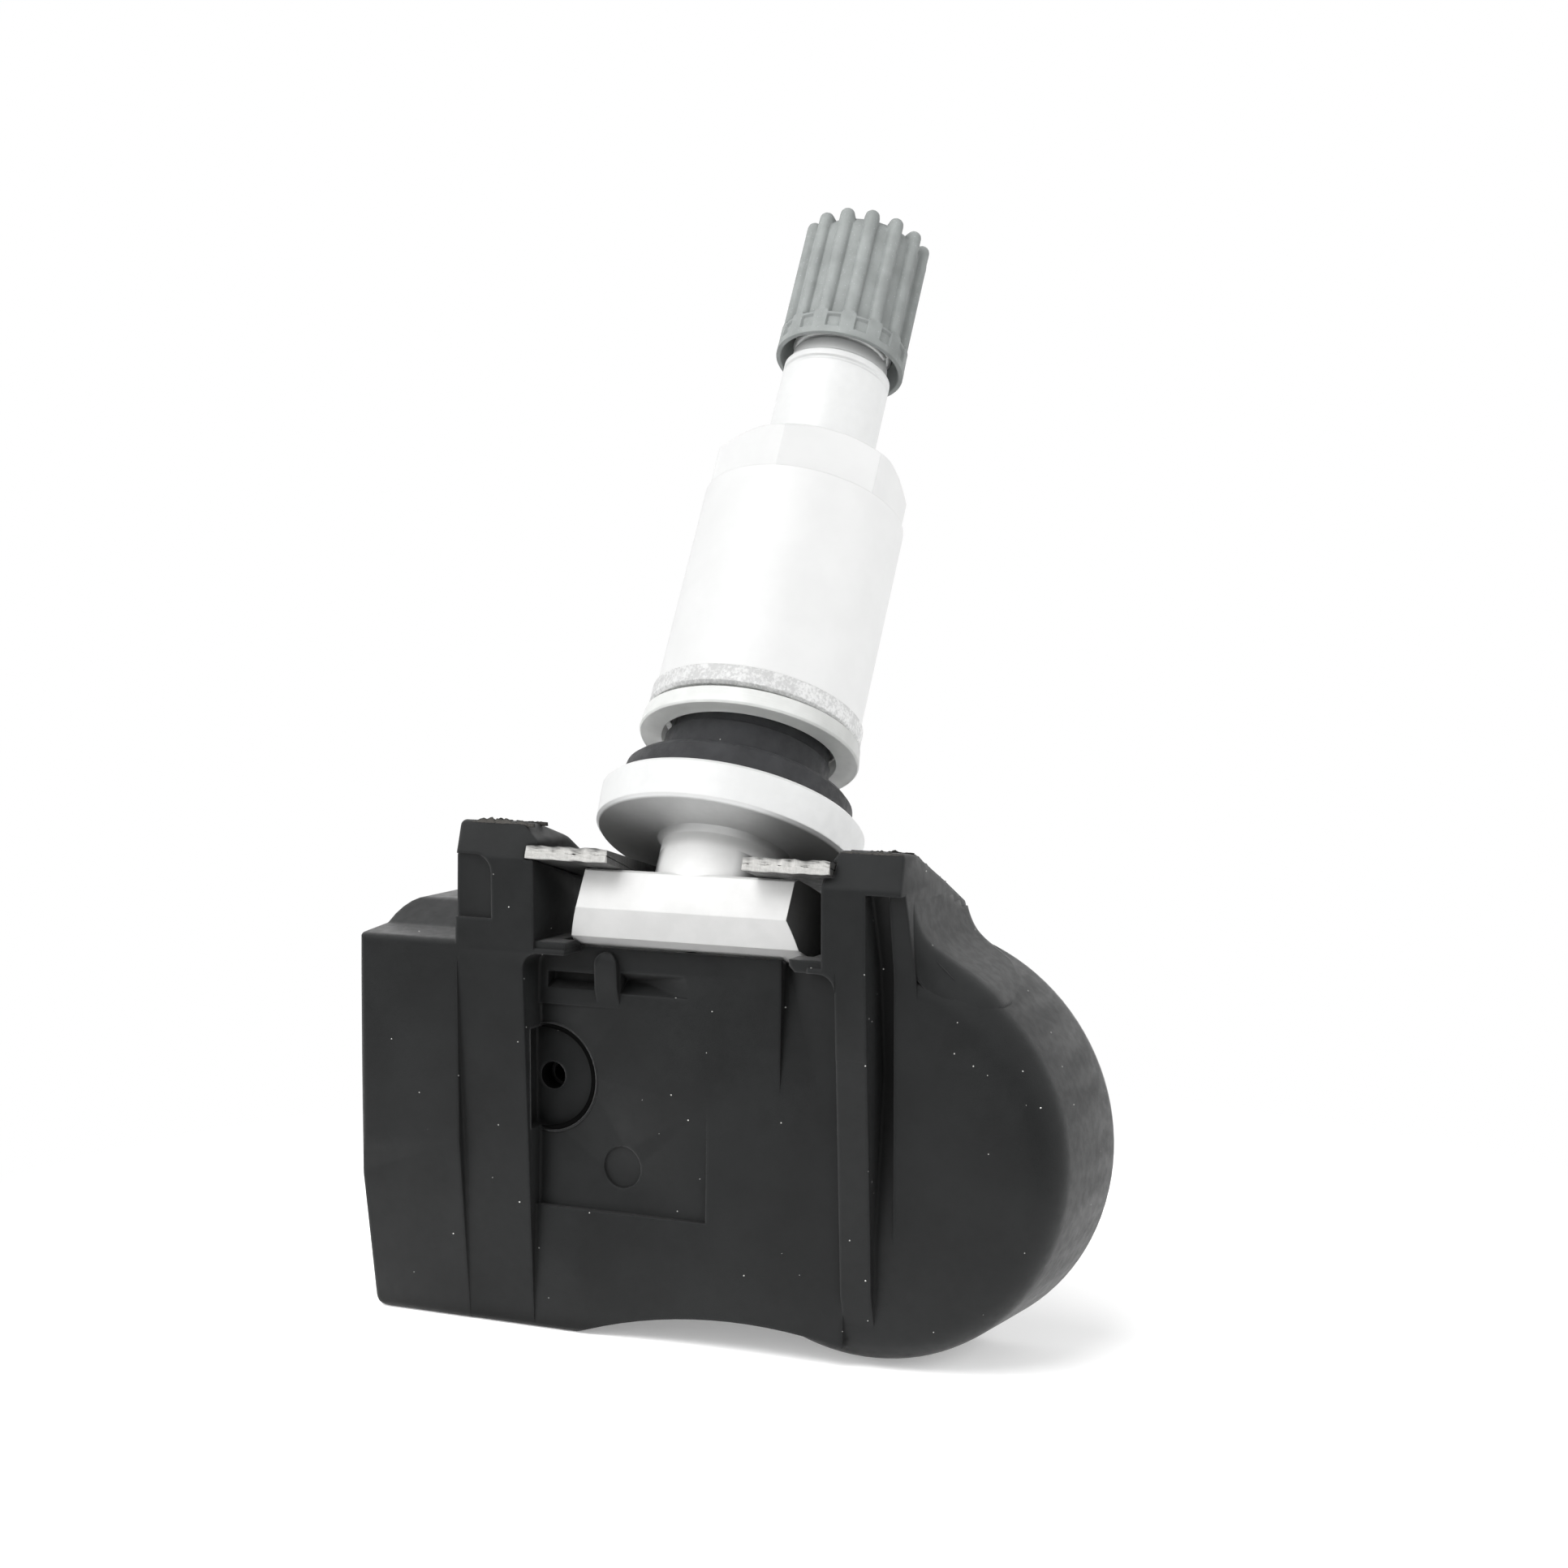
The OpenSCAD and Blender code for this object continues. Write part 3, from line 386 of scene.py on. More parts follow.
# %% The start of every finish
class Finish:
    """A material under construction: its tree, its Principled shader and its coordinates in mm."""

    def __init__(self, name, edge, along_valve=False, **plain):
        self.material = bpy.data.materials.new(name)
        self.material.use_nodes = True
        self.tree = self.material.node_tree
        self.shader = feed(self.tree, self.tree.nodes["Principled BSDF"], **plain)
        self.edge = edge
        where = add(self.tree, "ShaderNodeTexCoord").outputs["Object"]
        mapping = fed(self.tree, "ShaderNodeMapping", Vector=where, Scale=(1 / MM,) * 3)
        if along_valve:
            middle = Matrix.Rotation(LEAN, 3, "X") @ PIVOT
            feed(self.tree, mapping, Rotation=(LEAN, 0, 0), Location=-middle / MM)
        self.place = mapping.outputs["Vector"]

    def height(self):
        return axes_of(self.tree, self.place)["Z"]

    def effect(self, group, **values):
        """The one output of a group that works on the piece's coordinates."""
        return use_group(self.tree, group, Place=self.place, **values)[0]

    def tone(self, colour, low=0.85, high=1.15, scale=0.2):
        """The colour with slow drift; returns a colour socket."""
        return scaled(self.tree, colour, self.effect(DRIFT, Scale=scale, Low=low, High=high))

    def bump(self, height, depth_mm):
        """Feeds the shader's normal from a height, over rounded edges."""
        soft = feed(self.tree, add(self.tree, "ShaderNodeBevel", samples=4), Radius=self.edge * MM)
        n = fed(self.tree, "ShaderNodeBump", Height=height, Distance=depth_mm * MM,
                Strength=1.0, Normal=soft.outputs[0])
        feed(self.tree, self.shader, Normal=n.outputs[0])

    def colour(self, value):
        put(self.tree, self.shader.inputs["Base Color"], value)

    def rough(self, low, high, scale=1.5):
        feed(self.tree, self.shader, Roughness=self.effect(DRIFT, Scale=scale, Low=low, High=high))


# %% [markdown]
# The housing is glass-filled nylon: near black, matt, with the even grain that a spark-eroded mould
# leaves and a little grey dust; its edges carry a painted highlight and its corners painted shade.
# Rubber is blacker and duller. The cap is a mid-grey nylon in which pale specks of filler show, and
# the washer a milky one.

# %% Plastics and rubber
# The first colour is a paler nylon used as a painted highlight on edges; the second is dust.
EDGE_HIGHLIGHT_NYLON, NYLON_DUST = (0.016, 0.0165, 0.017, 1), (0.35, 0.35, 0.34, 1)
RUBBER_DUST, CAP_FLECKS = (0.3, 0.3, 0.3, 1), (0.45, 0.47, 0.48, 1)


def nylon(name, colour, grain=14.0, depth=0.012, low=0.37, high=0.48, dust=0.35):
    f = Finish(name, edge=0.34, IOR=1.45, Specular_IOR_Level=0.3, Sheen_Weight=0.17,
               Sheen_Roughness=0.35)
    dusty = f.effect(SPECKS, Scale=0.9, Size=0.045, Share=dust)
    # Painted highlight: rounded edges are blended to a paler nylon, standing in for the thin lines of
    # light along them.
    edge_highlight = use_group(f.tree, EDGES, Radius=0.16 * MM, Strength=0.75)["Mask"]
    # Painted shade: the colour is darkened in corners that see little of the room.
    corner_shade = use_group(f.tree, CORNER_SHADE, Distance=1.6 * MM, Least=0.04)["Open"]
    plastic = scaled(f.tree, blend_colour(f.tree, edge_highlight, f.tone(colour), EDGE_HIGHLIGHT_NYLON), corner_shade)
    f.colour(blend_colour(f.tree, dusty, plastic, NYLON_DUST))
    f.rough(low, high)
    f.bump(f.effect(GRAIN, Scale=grain), depth)
    return f.material


def rubber(name, colour):
    f = Finish(name, edge=0.12, along_valve=True, IOR=1.48)
    dusty = f.effect(SPECKS, Scale=1.4, Size=0.05, Share=0.3)
    f.colour(blend_colour(f.tree, dusty, f.tone(colour, scale=0.5), RUBBER_DUST))
    f.rough(0.45, 0.62)
    f.bump(f.effect(GRAIN, Scale=7.0), 0.02)
    return f.material


def cap_nylon():
    f = Finish("cap_grey_nylon", edge=0.08, along_valve=True, IOR=1.45)
    fleck = times(f.tree, f.effect(SPECKS, Scale=5.0, Size=0.16, Share=0.35), 0.35)
    grey = f.tone((0.184, 0.196, 0.192), 0.9, 1.1, 0.6)
    f.colour(blend_colour(f.tree, fleck, grey, CAP_FLECKS))
    f.rough(0.5, 0.65)
    f.bump(f.effect(GRAIN, Scale=9.0), 0.03)
    return f.material


def washer_nylon():
    f = Finish("washer_milky_nylon", edge=0.1, along_valve=True, IOR=1.5, Transmission_Weight=0.45)
    f.colour(f.tone((0.71, 0.72, 0.705), 0.9, 1.05, 0.4))
    f.rough(0.28, 0.42)
    f.bump(f.effect(RINGS, Scale=5.0), 0.01)
    return f.material


HOUSING = nylon("housing_black_nylon", (0.0075, 0.008, 0.0082))
COVER = nylon("cover_black_nylon", (0.016, 0.0165, 0.017), grain=9.0, depth=0.006, low=0.35,
              high=0.45)
GROMMET = rubber("grommet_black_rubber", (0.014, 0.0145, 0.016))
SEAL = rubber("seal_black_rubber", (0.02, 0.02, 0.02))
# The port's seal is black rubber, made darker still as painted shade at the bottom of the bore.
PORT_RUBBER_AND_SHADE = rubber("port_black_rubber", (0.003, 0.003, 0.003))
GASKET = rubber("gasket_red_rubber", (0.35, 0.035, 0.02))
CAP = cap_nylon()
WASHER = washer_nylon()

# %% [markdown]
# The valve and its nut are turned from aluminium and tumbled, so they look almost white, with faint
# rings from the lathe. The nut's lower collar is left rough, with a band of pits. The stem's foot is
# as it was cast and duller; painted shade darkens it low down, on its sides and on the neck, and the
# face under the flange. The fork is sheared from steel strip, and its cut ends show upright streaks;
# elsewhere it is dark, partly as oiled steel and partly as painted shade. Heights are in millimetres
# along the valve.

# %% Metals
COLLAR_LOW, COLLAR_HIGH = 13.8, 15.28
CAST_TOP, FOOT_TOP, FOOT_LOW, FOOT_HIGH = 4.6, 3.6, -3.4, 2.6
CAST_SKIN, CAST_METALLIC = (1.0, 1.0, 0.992), 0.25
FORK_FRONT = -17.62


def cast_foot_and_painted_shade(f, skin, metallic):
    """The stem's colour: the cast foot below CAST_TOP, with painted shade low down, on its sides and
    on the neck, and painted shade on the face under the flange.
    """
    tree, z = f.tree, f.height()
    above = spread(tree, z, CAST_TOP - 0.3, CAST_TOP + 0.3)
    feed(tree, f.shader, Metallic=spread(tree, above, 0.0, 1.0, CAST_METALLIC, metallic))
    # Painted shade on the face under the flange, just above the cast foot.
    painted_flange_shade = spread(tree, z, CAST_TOP + 0.31, CAST_TOP + 0.42, 0.62, 1.0)
    # Painted shade on the foot: darker towards its bottom, and darker again on the neck above
    # FOOT_TOP.
    level = times(tree, spread(tree, z, FOOT_LOW, FOOT_HIGH, 0.44, 0.57),
                  spread(tree, z, FOOT_TOP - 0.2, FOOT_TOP + 0.6, 1.0, 0.74))
    # Painted shade on the foot's side faces that turn along X, except on its top.
    facing = axes_of(tree, add(tree, "ShaderNodeNewGeometry").outputs["Normal"])["X"]
    painted_side_shade = spread(tree, maths(tree, "ABSOLUTE", facing), 0.6, 0.85, 1.0, 0.12)
    over_foot = spread(tree, z, FOOT_TOP - 0.1, FOOT_TOP + 0.1)
    shade = times(tree, level, maths(tree, "MAXIMUM", painted_side_shade, over_foot))
    cast = scaled(tree, f.tone(CAST_SKIN, 0.97, 1.03, 0.5), shade)
    return blend_colour(tree, above, cast, scaled(tree, skin, painted_flange_shade))


def turned(name, colour, low, high, metallic=1.0, collar=False, cast=False):
    f = Finish(name, edge=0.12, along_valve=True, Metallic=metallic)
    skin = f.tone(colour, 0.985, 1.012, 0.35)
    rings = f.effect(RINGS, Scale=6.0)
    if not collar:
        f.colour(cast_foot_and_painted_shade(f, skin, metallic) if cast else skin)
        f.rough(low, high)
        f.bump(rings, 0.006)
        return f.material
    z = f.height()
    band = times(f.tree, maths(f.tree, "GREATER_THAN", z, COLLAR_LOW),
                 maths(f.tree, "LESS_THAN", z, COLLAR_HIGH))
    speckle = spread(f.tree, f.effect(GRAIN, Scale=5.0), 0.42, 0.6, 0.76, 0.99)
    f.colour(blend_colour(f.tree, band, skin, scaled(f.tree, skin, speckle)))
    relief = add(f.tree, "ShaderNodeMix", data_type="FLOAT")
    put(f.tree, relief.inputs[0], band)
    put(f.tree, relief.inputs[2], times(f.tree, rings, 0.06))
    put(f.tree, relief.inputs[3], times(f.tree, f.effect(GRAIN, Scale=3.2), 0.45))
    f.bump(relief.outputs[0], 0.12)
    feed(f.tree, f.shader, Roughness=spread(f.tree, band, 0.0, 1.0, high, 0.5))
    return f.material


def sheared_steel():
    f = Finish("fork_sheared_steel", edge=0.06, Metallic=0.55)
    streaks = noise(f.tree, squeezed(f.tree, f.place, (1.0, 1.0, 0.25)), 3.5, 5.0, 0.75)
    # Away from its front ends the fork is dark: partly the steel's oiled finish, partly painted shade.
    skin = spread(f.tree, axes_of(f.tree, f.place)["Y"], FORK_FRONT, FORK_FRONT + 0.12)
    bright = blend_colour(f.tree, streaks, (0.31, 0.31, 0.3, 1), (0.66, 0.65, 0.63, 1))
    f.colour(blend_colour(f.tree, skin, bright, f.tone((0.09, 0.09, 0.088), 0.8, 1.2, 0.6)))
    f.rough(0.45, 0.62)
    f.bump(streaks, 0.1)
    return f.material


VALVE = turned("valve_satin_aluminium", (0.8, 0.806, 0.803), 0.5, 0.6, metallic=0.8, cast=True)
SLEEVE = turned("sleeve_satin_aluminium", (0.83, 0.833, 0.83), 0.42, 0.5, metallic=0.85, collar=True)
BRASS = turned("core_turned_brass", (0.72, 0.52, 0.24), 0.28, 0.38)
SPRING = turned("spring_bright_steel", (0.62, 0.62, 0.63), 0.22, 0.3)
FORK = sheared_steel()
print("finishes so far:", len(bpy.data.materials))

# %% [markdown]
# Inside the housing are the electronics, which show only when someone takes the solids apart. They
# still get honest finishes: green solder mask, a bright cell, black chips, tan ceramic, ferrite and
# copper.

# %% Finishes inside the housing
def simple(name, colour, low, high, metallic=0.0, grain=10.0, depth=0.01, drift=0.12):
    f = Finish(name, edge=0.05, Metallic=metallic)
    f.colour(f.tone(colour, 1 - drift, 1 + drift, 0.8))
    f.rough(low, high)
    f.bump(f.effect(GRAIN, Scale=grain), depth)
    return f.material


BOARD = simple("board_green_mask", (0.012, 0.11, 0.035), 0.3, 0.4)
CELL = simple("cell_bright_steel", (0.62, 0.62, 0.6), 0.25, 0.35, 1.0)
TAB = simple("tab_nickel", (0.66, 0.63, 0.56), 0.25, 0.35, 1.0)
CHIP = simple("chip_black_resin", (0.018, 0.018, 0.02), 0.45, 0.6)
CERAMIC = simple("part_tan_ceramic", (0.36, 0.25, 0.13), 0.4, 0.5, drift=0.25)
FERRITE = simple("coil_grey_ferrite", (0.05, 0.045, 0.042), 0.5, 0.6)
COPPER = simple("antenna_copper", (0.78, 0.4, 0.2), 0.25, 0.35, 1.0)

FINISH_OF = {
    "housing": HOUSING, "rear_cover": COVER, "circuit_board": BOARD, "coin_cell": CELL,
    "cell_tab_front": TAB, "cell_tab_rear": TAB, "pressure_sensor": CHIP, "port_seal": PORT_RUBBER_AND_SHADE,
    "control_chip": CHIP, "crystal": CELL, "wake_coil": FERRITE, "radio_antenna": COPPER,
    "small_components": CERAMIC, "retaining_fork": FORK, "valve_stem": VALVE, "grommet": GROMMET,
    "sliding_washer": WASHER, "sleeve_nut": SLEEVE, "valve_cap": CAP, "cap_seal": SEAL,
    "core_barrel": BRASS, "core_gasket": GASKET, "core_pin": BRASS, "core_seat": SEAL,
    "core_spring": SPRING,
}
for name, obj in nodes.items():
    obj.data.materials.clear()
    obj.data.materials.append(FINISH_OF[name])
print("CAD pieces with a finish:", len(nodes))

# %% [markdown]
# Geometry Nodes do the repeating work. A helper makes a tree with named inputs, and another runs it
# and keeps the result as a plain mesh at the origin. The first tree turns copies of one piece round
# the upright axis and joins them where they meet.

# %% Geometry Nodes helpers
def node_tree(name, **inputs):
    """An empty tree with the inputs named, each with its kind: (tree, its inputs by name)."""
    tree = bpy.data.node_groups.new(name, "GeometryNodeTree")
    for label, kind in {"Geometry": "Geometry", **inputs, "Material": "Material"}.items():
        tree.interface.new_socket(label, in_out="INPUT", socket_type="NodeSocket" + kind)
    tree.interface.new_socket("Geometry", in_out="OUTPUT", socket_type="NodeSocketGeometry")
    return tree, add(tree, "NodeGroupInput").outputs


def end_tree(tree, given, geometry):
    """Every tree ends the same way: real geometry, with its material."""
    real = fed(tree, "GeometryNodeRealizeInstances", Geometry=geometry)
    paint = fed(tree, "GeometryNodeSetMaterial", Geometry=real.outputs[0], Material=given["Material"])
    put(tree, add(tree, "NodeGroupOutput").inputs[0], paint.outputs[0])
    return tree


def run_tree(tree, name, base=None, **values):
    """Runs a tree on a mesh and returns the result as a plain mesh object."""
    carrier = new_object(name + "_carrier", base or bpy.data.meshes.new(name + "_base"))
    modifier = carrier.modifiers.new("nodes", "NODES")
    modifier.node_group = tree
    for item in tree.interface.items_tree:
        key = item.name.replace(" ", "_")
        if item.item_type == "SOCKET" and item.in_out == "INPUT" and key in values:
            modifier[item.identifier] = values.pop(key)
    assert not values, values
    bpy.context.view_layer.update()
    shape = carrier.evaluated_get(bpy.context.evaluated_depsgraph_get())
    mesh = bpy.data.meshes.new_from_object(shape)
    bpy.data.objects.remove(carrier)
    return plain_object(name, mesh)


def plain_object(name, mesh):
    mesh.name = name
    obj = new_object(name, mesh)
    for polygon in mesh.polygons:
        polygon.use_smooth = True
    print(name, "faces:", len(mesh.polygons))
    return obj


def tree_turned_copies():
    tree, given = node_tree("turned copies", Copies="Int", Merge="Float")
    points = fed(tree, "GeometryNodeMeshLine", Count=given["Copies"], Offset=(0, 0, 0))
    number = add(tree, "GeometryNodeInputIndex").outputs[0]
    step = maths(tree, "DIVIDE", math.tau, given["Copies"])
    turn = fed(tree, "ShaderNodeCombineXYZ", Z=times(tree, number, step))
    copies = fed(tree, "GeometryNodeInstanceOnPoints", Points=points.outputs[0],
                 Instance=given["Geometry"], Rotation=turn.outputs[0])
    real = fed(tree, "GeometryNodeRealizeInstances", Geometry=copies.outputs[0])
    weld = fed(tree, "GeometryNodeMergeByDistance", Geometry=real.outputs[0], Distance=given["Merge"])
    return end_tree(tree, given, weld.outputs[0])


TURNED_COPIES = tree_turned_copies()

# %% [markdown]
# The cap has fourteen round ribs over its body, a band at its mouth with a small window between each
# pair of ribs, and a low dome that the ribs run onto. Its outside is one sector of a surface: a
# profile from the mouth up to the middle of the dome, pushed outwards along its normals. On a rib,
# the push goes as far as the skin of an upright round bar. Fourteen turned copies make the cap.

# %% The ribbed cap
CAP_Z, CAP_TOP, CAP_R, RIB_R, RIBS = 42.9, 53.69, 4.1, 0.54, 14
BORE_R, ROOF_Z = 3.65, 52.4
BAND_TOP, BAND_OUT, WINDOW_OUT, RIM_OUT, PAD_HALF, PAD_TOP = 2.6, 0.54, 0.34, 0.5, 0.5, 1.9
SIDE_ROWS, SHOULDER_ROWS, DOME_ROWS, SECTOR_COLUMNS = 64, 18, 6, 24
FURTHEST, PROBE, WELD = 60, 0.02, 0.001 * MM


def step_up(x, a, b):
    t = min(1.0, max(0.0, (x - a) / (b - a)))
    return t * t * (3 - 2 * t)


def cap_profile():
    """(radius, height above the mouth, outward normal) along the outside, in millimetres."""
    tall = CAP_TOP - CAP_Z
    roof = ROOF_Z - CAP_Z
    points = [(CAP_R, 0.1 + (roof - 0.1) * i / SIDE_ROWS, 1.0, 0.0) for i in range(SIDE_ROWS + 1)]
    edge = [(CAP_R, roof), (CAP_R - 0.08, roof + 0.3), (CAP_R - 0.42, roof + 0.75),
            (CAP_R - 1.12, roof + 1.1)]
    for i in range(1, SHOULDER_ROWS + 1):
        t = 3 * i / SHOULDER_ROWS
        k = min(2, int(t))
        r = edge[k][0] + (edge[k + 1][0] - edge[k][0]) * (t - k)
        z = edge[k][1] + (edge[k + 1][1] - edge[k][1]) * (t - k)
        a = math.radians(90) * i / SHOULDER_ROWS
        points.append((r, z, math.cos(a), math.sin(a)))
    r1, z1 = points[-1][0], points[-1][1]
    for i in range(1, DOME_ROWS + 1):
        part = i / DOME_ROWS
        points.append((r1 * (1 - part), z1 + (tall - 0.1 - z1) * part, 0.0, 1.0))
    return points


def in_rib(x, y, z):
    """Whether a point is inside the rib: an upright round bar with a round end."""
    over = max(0.0, z - (CAP_TOP - CAP_Z - RIB_R))
    return (x - CAP_R) ** 2 + y * y + over * over < RIB_R ** 2


def cap_height(r, a, z, nr, nz):
    """How far the surface stands out along its normal at the angle a from the rib's middle."""
    rib = 0.0
    for k in range(FURTHEST, 0, -1):
        t = PROBE * k
        if in_rib((r + nr * t) * math.cos(a), (r + nr * t) * math.sin(a), z + nz * t):
            rib = t
            break
    if z > BAND_TOP:
        return rib
    pad = BAND_OUT if abs(a) * r < PAD_HALF and z < PAD_TOP else 0.0
    ring = BAND_OUT * (1 - step_up(z, 0.62, 0.7))
    window = WINDOW_OUT * (1 - step_up(z, 1.5, 1.6))
    rim = RIM_OUT * step_up(z, 1.42, 1.48) * (1 - step_up(z, 1.72, 1.84))
    return max(rib, pad, ring, window, rim)


def cap_sector():
    bm = bmesh.new()
    half = math.pi / RIBS
    angles = [(-1 + 2 * k / SECTOR_COLUMNS) * half for k in range(SECTOR_COLUMNS + 1)]

    def corner(r, a, z):
        return bm.verts.new((r * math.cos(a) * MM, r * math.sin(a) * MM, (CAP_Z + z) * MM))

    grid = []
    for r, z, nr, nz in cap_profile():
        out = [(a, cap_height(r, a, z, nr, nz)) for a in angles]
        grid.append([corner(r + nr * h, a, z + nz * h) for a, h in out])
    roof = ROOF_Z - CAP_Z
    inside = [(4.64, 0.03), (4.58, 0.0), (4.34, 0.0), (4.26, 0.08), (4.1, 1.1), (BORE_R, 1.5),
              (BORE_R, roof - 0.2), (BORE_R - 0.2, roof), (0.0, roof)]
    for r, z in inside:
        grid.insert(0, [corner(r, a, z) for a in angles])
    for a, b in zip(grid, grid[1:]):
        for k in range(SECTOR_COLUMNS):
            bm.faces.new((a[k], a[k + 1], b[k + 1], b[k]))
    bmesh.ops.remove_doubles(bm, verts=bm.verts, dist=WELD)
    return mesh_from(bm, "cap_sector")


cap = run_tree(TURNED_COPIES, "ribbed_cap", cap_sector(), Copies=RIBS, Merge=4 * WELD, Material=CAP)
cap.data.transform(Matrix.Rotation(math.pi / 2, 4, "Z"))
cap.data.transform(TO_VALVE)
cap.data.set_sharp_from_angle(angle=math.radians(42))
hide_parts("valve_cap")
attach(cap, "cap")

# %% [markdown]
# The housing comes out of its mould with every edge a little round, which the CAD leaves sharp. Its
# mesh is copied, welded, and given a narrow bevel on each sharp edge. Then the left arm's tip and the
# right arm's foot are trimmed, and the port's bore is opened, with painted shade, a near-black finish,
# on its wall. Numbers are millimetres of the frame.

# %% The moulded housing
EDGE_ANGLE, EDGE_WIDTH, EDGE_STEPS = math.radians(28), 0.17 * MM, 2
ARM_OUTER, ARM_INNER, TIP_Z, TIP_HALF_Z, TIP_FRONT = -16.2, (-12.7, -11.2), 32.05, 32.9, -14
FOOT_X, FOOT_Z, FOOT_Y, FOOT_DROP = (15.3, 17.9), (26.15, 28.7), (-15.6, -6.8), (0.35, 0.7)
PORT, PORT_REACH, PORT_WIDER = Vector((-11.45, 0.0, 17.0)), 1.05, 1.22
# A near-black finish that is painted shade, for the port's bore and the ring inside the lip.
PAINTED_SHADE = simple("groove_dark_nylon", (0.0015, 0.0015, 0.0015), 0.85, 0.95)
PAINTED_SHADE.node_tree.nodes["Principled BSDF"].inputs["Specular IOR Level"].default_value = 0.05


def soft_edges(source, name):
    """A closed copy of a CAD node's mesh with narrow bevels on its sharp edges."""
    bm = bmesh.new()
    bm.from_mesh(source)
    bmesh.ops.remove_doubles(bm, verts=bm.verts, dist=0.002 * MM)
    bmesh.ops.dissolve_limit(bm, angle_limit=math.radians(2), verts=bm.verts, edges=bm.edges)
    sharp = [e for e in bm.edges if len(e.link_faces) == 2 and e.calc_face_angle(0) > EDGE_ANGLE]
    bmesh.ops.bevel(bm, geom=sharp, offset=EDGE_WIDTH, offset_type="OFFSET", segments=EDGE_STEPS,
                    profile=0.5, affect="EDGES", clamp_overlap=True)
    bmesh.ops.triangulate(bm, faces=[f for f in bm.faces if len(f.verts) > 4])
    return mesh_from(bm, name)


def finish_mesh(name, mesh, material, body, smooth_under=20.0):
    """Makes the mesh an object that rides its body, smooth only where it bends gently."""
    obj = plain_object(name, mesh)
    mesh.materials.clear()
    mesh.materials.append(material)
    mesh.set_sharp_from_angle(angle=math.radians(smooth_under))
    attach(obj, body)
    return obj


def trim_left_arm(mesh):
    """The arm's tip stands upright on its outer side and is narrower on its inner side."""
    for v in mesh.vertices:
        x, y, z = v.co / MM
        if x < ARM_OUTER and z > TIP_Z and y < TIP_FRONT:
            v.co.x -= 0.75 * (z - TIP_Z) / 2.1 * min(1.0, (TIP_FRONT - y) / 1.5) * MM
        if ARM_INNER[0] < x < ARM_INNER[1] and z > TIP_HALF_Z:
            v.co.x -= 0.7 * step_up(z, TIP_HALF_Z, TIP_HALF_Z + 1) * MM


def lower_right_foot(mesh):
    """Takes the step off the end of the right arm's foot, so that its blend runs out on the lobe."""
    for v in mesh.vertices:
        x, y, z = v.co / MM
        if all(a < c < b for c, (a, b) in ((x, FOOT_X), (y, FOOT_Y), (z, FOOT_Z))):
            v.co.z -= (FOOT_DROP[0] + FOOT_DROP[1] * step_up(x, 16.0, 17.5)) * MM


def widen_port(mesh):
    """Opens the port's bore to the width that shows in front, and returns the faces of its wall."""
    moved = set()
    for v in mesh.vertices:
        out = Vector((v.co.x / MM, 0.0, v.co.z / MM)) - PORT
        if out.length < PORT_REACH:
            v.co.x = (PORT.x + out.x * PORT_WIDER) * MM
            v.co.z = (PORT.z + out.z * PORT_WIDER) * MM
            moved.add(v.index)
    return [p.index for p in mesh.polygons if abs(p.normal.y) < 0.5 and moved.issuperset(p.vertices)]


housing_mesh = soft_edges(nodes["housing"].data, "moulded_housing")
bore_faces = widen_port(housing_mesh)
print("faces of the port's bore:", len(bore_faces))
trim_left_arm(housing_mesh)
lower_right_foot(housing_mesh)
housing = finish_mesh("moulded_housing", housing_mesh, HOUSING, "body")
# The bore's wall takes the painted shade.
housing_mesh.materials.append(PAINTED_SHADE)
for face in bore_faces:
    housing_mesh.polygons[face].material_index = 1
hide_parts("housing")

# %% [markdown]
# Where the right arm stands on the round end, the moulding flows from one into the other in a hollow
# curve that also rounds over towards the front. This piece is that curve: a profile seen from the
# front, carried from the rear to the front and then rolled inwards, with its borders sunk in the
# housing.

# %% The hollow at the foot of the right arm
HOLLOW = [(14.92, 30.95), (15.08, 29.75), (15.36, 28.6), (15.82, 27.65), (16.45, 26.98),
          (17.25, 26.4), (18.15, 25.78), (19.0, 25.18), (19.8, 24.52), (20.4, 23.8)]
HOLLOW_REAR, HOLLOW_STEPS, HOLLOW_CORE = -6.95, 45, Vector((14.6, -11, 24)) * MM
ARM_REAR_Z, ARM_REAR_Y, ARM_SLOPE, ARM_FACE_X = 29.2, -7.12, 0.502, 14.7


def along_points(points, count):
    """Evenly spaced points on a smooth curve through the given ones, with a slope at each."""
    out = []
    for i in range(count + 1):
        t = (len(points) - 1) * i / count
        k = min(len(points) - 2, int(t))
        u = t - k
        a, b, c, d = (Vector(points[min(len(points) - 1, max(0, k + j))]) for j in (-1, 0, 1, 2))
        square, cube = 2 * a - 5 * b + 4 * c - d, 3 * b - a - 3 * c + d
        place = 0.5 * (2 * b + (c - a) * u + square * u * u + cube * u ** 3)
        slope = 0.5 * ((c - a) + 2 * square * u + 3 * cube * u * u)
        out.append((place, slope.normalized()))
    return out


